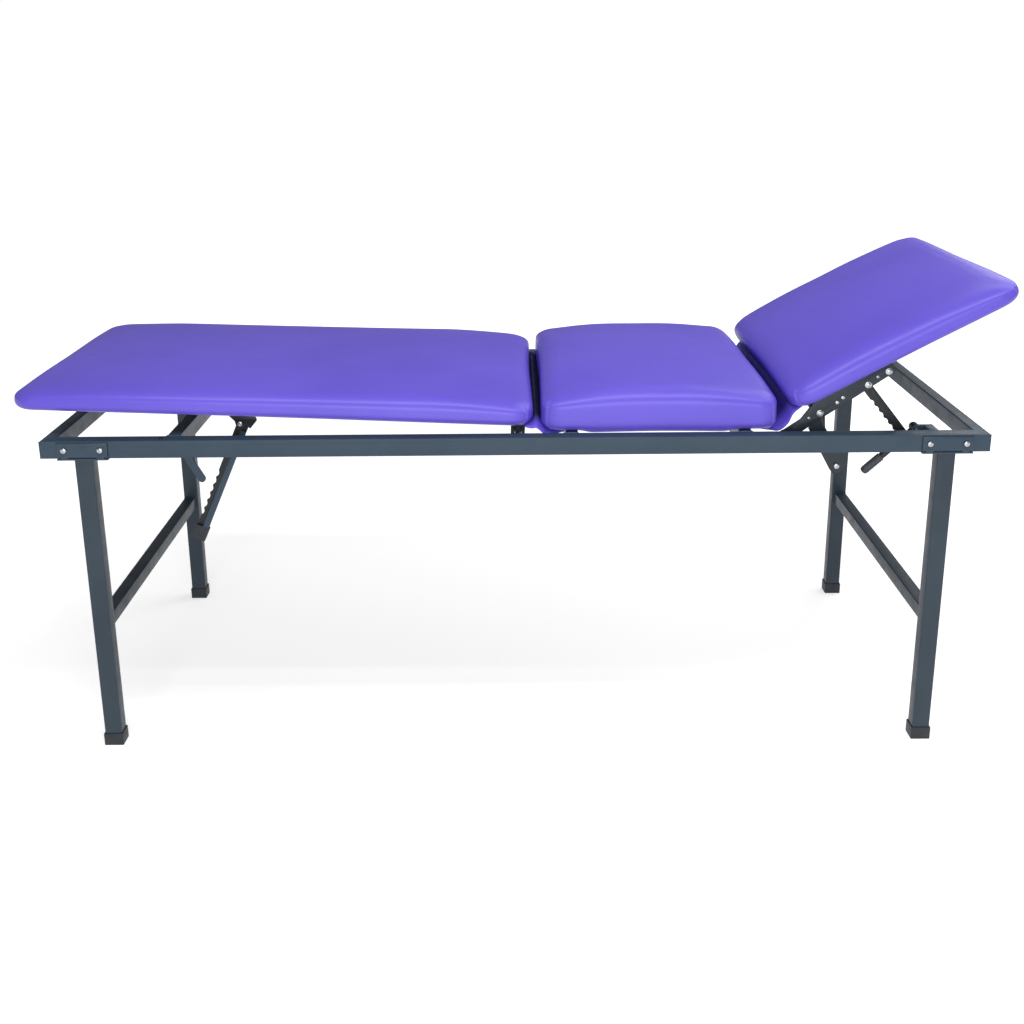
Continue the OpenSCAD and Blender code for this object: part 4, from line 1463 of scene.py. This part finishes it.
    def seam_rows(self, grid: PadGrid) -> list[tuple[list[int], int]]:
        """Columns of points that the corner seams follow, from the tuck up over the soft edge.

        Args:
            grid: The counts of the pad's mesh.

        Returns:
            Indices of each seam's points, and the way along the ring to the pad's long side.
        """
        spans = [(end, self.seam_rings) for end in self.sewn]
        spans += [(end, self.crease_rings) for end in self.creased]
        return [([ring * grid.ring + grid.corners()[corner] for ring in range(*span)], side)
                for end, span in spans for corner, side in end.value]

    def build(self) -> list[bpy.types.Object]:
        """Makes the cover and its seams.

        Returns:
            The pieces.
        """
        points, faces, grid = self.mesh()
        base = min(p.z for p in points)
        seams = self.seam_rows(grid)
        cover = new_piece(self.name, points, faces, 180.0)
        self.inflate(cover, base)
        self.press_seams(cover, seams, grid)
        smooth = cover.modifiers.new("smooth", "SUBSURF")
        smooth.levels = smooth.render_levels = 1
        apply_modifiers(cover)
        threads = self.stitches(cover, seams, grid)
        turn = self.lean.matrix()
        for piece in (cover, threads):
            piece.data.transform(turn)
            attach(piece, body_of_node(self.node))
        Slot.VINYL.dress(cover)
        # The stitches are coloured lighter than the vinyl: a painted highlight.
        dress_as(threads, Thread(), "finish_thread_painted_highlight", Slot.VINYL.slot)
        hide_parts(self.node)
        return [cover, threads]

    def inflate(self, cover: bpy.types.Object, base: float) -> None:
        """Lets the foam press the cover out from its tucked lower edge, by a cloth simulation.

        Args:
            cover: The cover, drawn level.
            base: Height of the pad's underside.
        """
        mesh = cover.data
        rest = [v.co.copy() for v in mesh.vertices]
        normals = [v.normal.copy() for v in mesh.vertices]
        tuck = base + self.low_radius
        for vertex, normal in zip(mesh.vertices, normals):
            if vertex.co.z > tuck:
                vertex.co -= normal * self.shrink
        held = cover.vertex_groups.new(name="held")
        held.add([i for i, co in enumerate(rest) if co.z < tuck], 1.0, "REPLACE")
        shaped = self.simulated(cover)
        moves = []
        for place, start in zip(shaped, rest):
            move = place - start
            moves.append(move * (self.puff / (self.puff + move.length)))
        moves = evened(moves, mesh, self.even_passes)
        for vertex, start, move in zip(mesh.vertices, rest, moves):
            vertex.co = start + move
        mesh.update()

    def simulated(self, cover: bpy.types.Object) -> list[Vector]:
        """Blows the cover up as cloth that is held at its tuck.

        Args:
            cover: The cover, with its tuck in the vertex group named held.

        Returns:
            Places of the cover's points when it has settled.
        """
        cloth = cover.modifiers.new("cloth", "CLOTH")
        settings = cloth.settings
        settings.quality = 5
        settings.mass = 0.35
        settings.tension_stiffness = settings.compression_stiffness = 40.0
        settings.shear_stiffness = 20.0
        settings.bending_stiffness = 8.0
        settings.use_pressure = True
        settings.uniform_pressure_force = 4.0
        settings.effector_weights.gravity = 0.0
        settings.vertex_group_mass = "held"
        scene = bpy.context.scene
        cloth.point_cache.frame_start = 1
        cloth.point_cache.frame_end = self.settle_frames
        for step in range(1, self.settle_frames + 1):
            scene.frame_set(step)
        depsgraph = bpy.context.evaluated_depsgraph_get()
        shaped = [v.co.copy() for v in cover.evaluated_get(depsgraph).data.vertices]
        cover.modifiers.remove(cloth)
        cover.vertex_groups.clear()
        scene.frame_set(1)
        return shaped

    def press_seams(self, cover: bpy.types.Object, seams: list[tuple[list[int], int]],
                    grid: PadGrid) -> None:
        """Draws the cover in along each corner seam, with a ridge and small puckers beside it.

        Args:
            cover: The cover, drawn level.
            seams: Each seam's points and the way to the pad's long side.
            grid: The counts of the pad's mesh.
        """
        mesh = cover.data
        normals = [v.normal.copy() for v in mesh.vertices]
        for column, side in seams:
            for step, index in enumerate(column):
                from_ends = min(step + 1, len(column) - 1 - step)
                fade = min(1.0, from_ends / self.fade_steps)
                mesh.vertices[index].co -= normals[index] * self.seam_depth * fade
                for reach, share in self.ridge_shares:
                    near = grid.beside(index, reach * side)
                    pinch = self.pucker * (step % 2) / abs(reach)
                    lift = (self.seam_ridge * share - pinch) * fade
                    mesh.vertices[near].co += normals[near] * lift
        mesh.update()

    def stitches(self, cover: bpy.types.Object, seams: list[tuple[list[int], int]],
                 grid: PadGrid) -> bpy.types.Object:
        """Lays a fine topstitch beside each corner seam, on its long side.

        Args:
            cover: The cover, drawn level.
            seams: Each seam's points and the way to the pad's long side.
            grid: The counts of the pad's mesh.

        Returns:
            The stitches as one piece.
        """
        shells = []
        for column, side in seams:
            beside = (cover.data.vertices[grid.beside(index, side)] for index in column[1:-1])
            shells += stitch_run([(near.co.copy(), near.normal.copy()) for near in beside])
        return joined(self.name + "_stitches", shells, 180.0)


def evened(moves: list[Vector], mesh: bpy.types.Mesh, passes: int) -> list[Vector]:
    """Evens out how far neighbouring points move.

    Args:
        moves: Move of each point.
        mesh: The mesh that joins the points.
        passes: How often the moves are averaged with their neighbours.

    Returns:
        The evened moves.
    """
    for _ in range(passes):
        sums = [move.copy() for move in moves]
        counts = [1] * len(moves)
        for edge in mesh.edges:
            a, b = edge.vertices
            sums[a] += moves[b]
            sums[b] += moves[a]
            counts[a] += 1
            counts[b] += 1
        moves = [total / number for total, number in zip(sums, counts)]
    return moves


# Rings of a stitch: place along it as a share of its half length, rise in thread radii.
STITCH_SHARES = ((-1.0, -0.9), (-0.7, 0.3), (0.0, 0.75), (0.7, 0.3), (1.0, -0.9))


def stitch_run(path: list[tuple[Vector, Vector]], pitch: float = 0.0042, thread: float = 0.00042,
               length_share: float = 0.74, sides: int = 6) -> list[Shell]:
    """Stitches along a line on a surface, each a short thread that dips in at both ends.

    Args:
        path: Points of the line with the surface's normals.
        pitch: Distance between two stitches.
        thread: Radius of the thread.
        length_share: Share of the pitch that a stitch takes.
        sides: Count of points round the thread.

    Returns:
        Points and faces of each stitch.
    """
    shells = []
    carried = 0.0
    for (start, up_a), (end, up_b) in pairwise(path):
        run = (end - start).length
        if run < SAME_POINT:
            continue
        way = (end - start) / run
        place = carried
        while place < run:
            up = up_a.lerp(up_b, place / run).normalized()
            middle = start + way * place
            side = way.cross(up).normalized()
            half = pitch * length_share / 2
            points: list[Vector] = []
            for share, rise in STITCH_SHARES:
                core = middle + way * half * share + up * thread * rise
                points += ring_of(core, side, up, thread, sides)
            shells.append((points, skin(len(STITCH_SHARES), sides)))
            place += pitch
        carried = place - run
    return shells


def apply_modifiers(piece: bpy.types.Object) -> None:
    """Replaces a piece's mesh with what its modifiers make of it.

    Args:
        piece: The piece.
    """
    depsgraph = bpy.context.evaluated_depsgraph_get()
    mesh = bpy.data.meshes.new_from_object(piece.evaluated_get(depsgraph), depsgraph=depsgraph)
    piece.modifiers.clear()
    old = piece.data
    piece.data = mesh
    bpy.data.meshes.remove(old)


@dataclass
class GapWeb:
    """The vinyl web that closes the gap between two pads from below."""

    name: str
    node: str
    line: tuple[tuple[float, float], ...]
    half_width: float
    section: str
    blend_start: Point
    blend_end: Point
    thick: float = 0.0012
    steps: int = 6
    across: int = 60
    sag: float = 0.012
    rim_power: int = 16
    wave: float = 0.0006
    wave_turns: tuple[float, float] = (31, 5)
    # Colour of the painted shade over the web's middle, where the gap lies in shadow.
    painted_shade: Colour = srgb(34, 33, 62)

    def path(self) -> list[Vector]:
        """The web's middle line, rounded between its chosen points.

        Returns:
            Points in the plane of the couch's side.
        """
        chosen = [Vector((x, 0.0, z)) for x, z in self.line]
        ends = [chosen[0], *chosen, chosen[-1]]
        path = []
        for i in range(len(chosen) - 1):
            a, b, c, d = ends[i:i + 4]
            for step in range(self.steps):
                t = step / self.steps
                path.append(((2 * b) + (c - a) * t + (2 * a - 5 * b + 4 * c - d) * t * t
                             + (3 * b - a - 3 * c + d) * t ** 3) / 2)
        path.append(chosen[-1])
        return path

    def build(self) -> list[bpy.types.Object]:
        """Makes the web as a fixed sheet along its line.

        Returns:
            The piece.
        """
        path = self.path()
        points, faces = [], []
        for i in range(self.across + 1):
            v = 2 * i / self.across - 1
            y = self.half_width * v
            rim = abs(v) ** self.rim_power
            for j, place in enumerate(path):
                u = j / (len(path) - 1)
                free = math.sin(math.pi * u)
                wave = self.wave * math.sin(self.wave_turns[0] * v + self.wave_turns[1] * u) * free
                drop = self.sag * rim * free
                points.append(place + Vector((0.0, y, wave - drop)))
        rows = len(path)
        for i in range(self.across):
            for j in range(rows - 1):
                a = i * rows + j
                faces.append((a, a + 1, a + rows + 1, a + rows))
        piece = new_piece(self.name, points, faces, 180.0)
        shell = piece.modifiers.new("thickness", "SOLIDIFY")
        shell.thickness = self.thick
        shell.offset = 0.0
        apply_modifiers(piece)
        finish = WebVinyl(painted_shade=self.painted_shade, half_width=self.half_width)
        dress_as(piece, finish, self.name, Slot.VINYL.slot)
        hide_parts(self.node)
        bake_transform(piece)
        return [piece]


@dataclass
class Boards:
    """The plywood boards under the pads."""

    edge: float = 0.0012
    boards: tuple[str, ...] = ("seat_board", "leg_board", "head_board")

    def build(self) -> list[bpy.types.Object]:
        """Makes the boards.

        Returns:
            The pieces.
        """
        return [Redrawn(node, self.edge).build() for node in self.boards]


@dataclass(frozen=True)
class SoftBox:
    """A soft box: where it hangs, what it points at, its width and height, and its watts."""

    name: str
    place: Point
    target: Point
    size: tuple[float, float]
    power: float

    def hang(self) -> None:
        """Hangs the box, unseen by the camera."""
        light = bpy.data.lights.new(self.name, "AREA")
        light.shape = "RECTANGLE"
        light.size, light.size_y = self.size
        light.energy = self.power
        lamp = bpy.data.objects.new(self.name, light)
        bpy.context.scene.collection.objects.link(lamp)
        lamp.location = self.place
        way = Vector(self.target) - Vector(self.place)
        lamp.rotation_euler = way.to_track_quat("-Z", "Y").to_euler()
        lamp.visible_camera = False


@dataclass
class Studio:
    """A pale floor, soft lights and the photograph's camera."""

    camera_place: Point = (-0.0035, -2.0945, 1.3760)
    camera_tilt: float = math.radians(12.9)
    camera_roll: float = -0.0078
    lens: float = 34.95
    shift: float = -0.22
    floor_size: float = 14.0
    white: Colour = (1.0, 1.0, 1.0, 1.0)
    ambient: float = 0.25
    floor_glow: tuple[float, float] = (0.53, 1.0)
    floor_fade: tuple[float, float] = (1.1, 3.2)
    boxes: tuple[SoftBox, ...] = (
        SoftBox("front_box", (0.0, -3.4, 1.35), (0.0, 0.0, 0.62), (2.8, 1.7), 64.0),
        SoftBox("edge_strip", (0.0, -0.9, 2.9), (0.0, -0.25, 0.7), (2.8, 0.26), 31.0),
        SoftBox("side_box", (2.0, 0.9, 2.4), (0.0, 0.0, 0.7), (2.6, 2.2), 34.0))

    def floor(self) -> None:
        """Makes a pale floor that keeps the couch's shadow."""
        half = self.floor_size / 2
        floor = new_piece("studio_floor", [(-half, -half, 0), (half, -half, 0), (half, half, 0),
                                           (-half, half, 0)], [(0, 1, 2, 3)])
        material = bpy.data.materials.new("studio_floor")
        material.use_nodes = True
        tree = material.node_tree
        shader = tree.nodes["Principled BSDF"]
        shader.inputs["Base Color"].default_value = (0.93, 0.93, 0.93, 1.0)
        shader.inputs["Roughness"].default_value = 0.9
        shader.inputs["Specular IOR Level"].default_value = 0.1
        glow = tree.nodes.new("ShaderNodeEmission")
        glow.inputs["Color"].default_value = self.white
        path = tree.nodes.new("ShaderNodeLightPath")
        seen = tree.nodes.new("ShaderNodeMath")
        seen.operation = "MAXIMUM"
        tree.links.new(path.outputs["Is Camera Ray"], seen.inputs[0])
        tree.links.new(path.outputs["Is Glossy Ray"], seen.inputs[1])
        place = tree.nodes.new("ShaderNodeTexCoord")
        away = tree.nodes.new("ShaderNodeVectorMath")
        away.operation = "LENGTH"
        tree.links.new(place.outputs["Object"], away.inputs[0])
        near = tree.nodes.new("ShaderNodeMapRange")
        near.interpolation_type = "SMOOTHSTEP"
        limits = (*self.floor_fade, *self.floor_glow)
        for name, value in zip(("From Min", "From Max", "To Min", "To Max"), limits):
            near.inputs[name].default_value = value
        tree.links.new(away.outputs["Value"], near.inputs["Value"])
        level = tree.nodes.new("ShaderNodeMath")
        level.operation = "MULTIPLY"
        tree.links.new(near.outputs["Result"], level.inputs[1])
        tree.links.new(seen.outputs[0], level.inputs[0])
        tree.links.new(level.outputs[0], glow.inputs["Strength"])
        both = tree.nodes.new("ShaderNodeAddShader")
        tree.links.new(shader.outputs[0], both.inputs[0])
        tree.links.new(glow.outputs[0], both.inputs[1])
        tree.links.new(both.outputs[0], tree.nodes["Material Output"].inputs["Surface"])
        floor.data.materials.append(material)

    def sky(self) -> None:
        """Lights the couch evenly, and shows white to the camera and to transmission rays."""
        world = bpy.data.worlds.new("studio")
        bpy.context.scene.world = world
        world.use_nodes = True
        tree = world.node_tree
        back = tree.nodes["Background"]
        back.inputs["Color"].default_value = self.white
        path = tree.nodes.new("ShaderNodeLightPath")
        seen = tree.nodes.new("ShaderNodeMath")
        seen.operation = "MAXIMUM"
        tree.links.new(path.outputs["Is Camera Ray"], seen.inputs[0])
        tree.links.new(path.outputs["Is Transmission Ray"], seen.inputs[1])
        level = tree.nodes.new("ShaderNodeMapRange")
        level.inputs["To Min"].default_value = self.ambient
        level.inputs["To Max"].default_value = 1.0
        tree.links.new(seen.outputs[0], level.inputs["Value"])
        tree.links.new(level.outputs["Result"], back.inputs["Strength"])

    def camera(self) -> None:
        """Stands the camera where the photograph was taken from."""
        data = bpy.data.cameras.new("photo_camera")
        data.lens = self.lens
        data.sensor_width = 36.0
        data.shift_y = self.shift
        data.clip_end = 100.0
        camera = bpy.data.objects.new("photo_camera", data)
        bpy.context.scene.collection.objects.link(camera)
        tilt = Matrix.Rotation(math.pi / 2 - self.camera_tilt, 4, "X")
        roll = Matrix.Rotation(self.camera_roll, 4, "Z")
        camera.matrix_world = Matrix.Translation(Vector(self.camera_place)) @ tilt @ roll
        bpy.context.scene.camera = camera

    def build(self) -> None:
        """Sets up the whole studio."""
        self.floor()
        self.sky()
        for box in self.boxes:
            box.hang()
        self.camera()
        bpy.context.scene.view_settings.view_transform = "Standard"


# Bends of the two webs, as places along the couch and above the floor.
FOOT_GAP_LINE = (
    (0.020, 0.6758), (0.032, 0.6790), (0.043, 0.6835), (0.055, 0.6740), (0.066, 0.6665), (0.097, 0.6662))
HEAD_GAP_LINE = (
    (0.464, 0.6655), (0.505, 0.6655), (0.522, 0.6690), (0.538, 0.6830), (0.548, 0.7000), (0.566, 0.7096))


def couch() -> list[object]:
    """Lists the couch's sub-assemblies in the order in which they are built.

    Returns:
        The sub-assemblies.
    """
    leg_pivot, head_pivot = LEG_LEAN.pivot, HEAD_LEAN.pivot
    return [
        TubeFrame(),
        LegSet(),
        Hardware(),
        Mechanism(),
        LeverGrip(),
        SmallFasteners(),
        Boards(),
        Pad("seat_cushion_cover", "seat_cushion", "seat_board", LEVEL, near_thick=0.090,
            far_thick=0.090, hang=0.007, corner=0.038, reach=0.007),
        Pad("leg_cushion_cover", "leg_cushion", "leg_board", LEG_LEAN, near_thick=0.065,
            far_thick=0.051, near_is_low_x=False, sewn=(End.HIGH_X,), corner_drops=(0.008, 0.013)),
        Pad("head_cushion_cover", "head_cushion", "head_board", HEAD_LEAN, near_thick=0.064,
            far_thick=0.056, sewn=(End.LOW_X,), creased=(End.HIGH_X,), corner_drops=(0.010, 0.010)),
        GapWeb("foot_gap_web", "foot_gap_strip", FOOT_GAP_LINE, half_width=0.262,
               section="leg_section", blend_start=(0.052, 0.0, leg_pivot[2]),
               blend_end=(0.030, 0.0, leg_pivot[2])),
        # The head web's painted shade is dark violet, for the shaded end of the head pad above the gap.
        GapWeb("head_gap_web", "head_gap_strip", HEAD_GAP_LINE, half_width=0.246,
               section="head_section", blend_start=(0.512, 0.0, head_pivot[2]),
               blend_end=(0.550, 0.0, head_pivot[2]), painted_shade=srgb(52, 43, 128)),
    ]


def main() -> None:
    """Builds every sub-assembly in order and reports its pieces."""
    logging.basicConfig(level=logging.INFO, format="%(name)s: %(message)s")
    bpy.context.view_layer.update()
    for assembly in couch():
        for piece in assembly.build():
            log.info("%s: %s, %d faces", type(assembly).__name__, piece.name, len(piece.data.polygons))
    Studio().build()


if __name__ == "__main__":
    main()
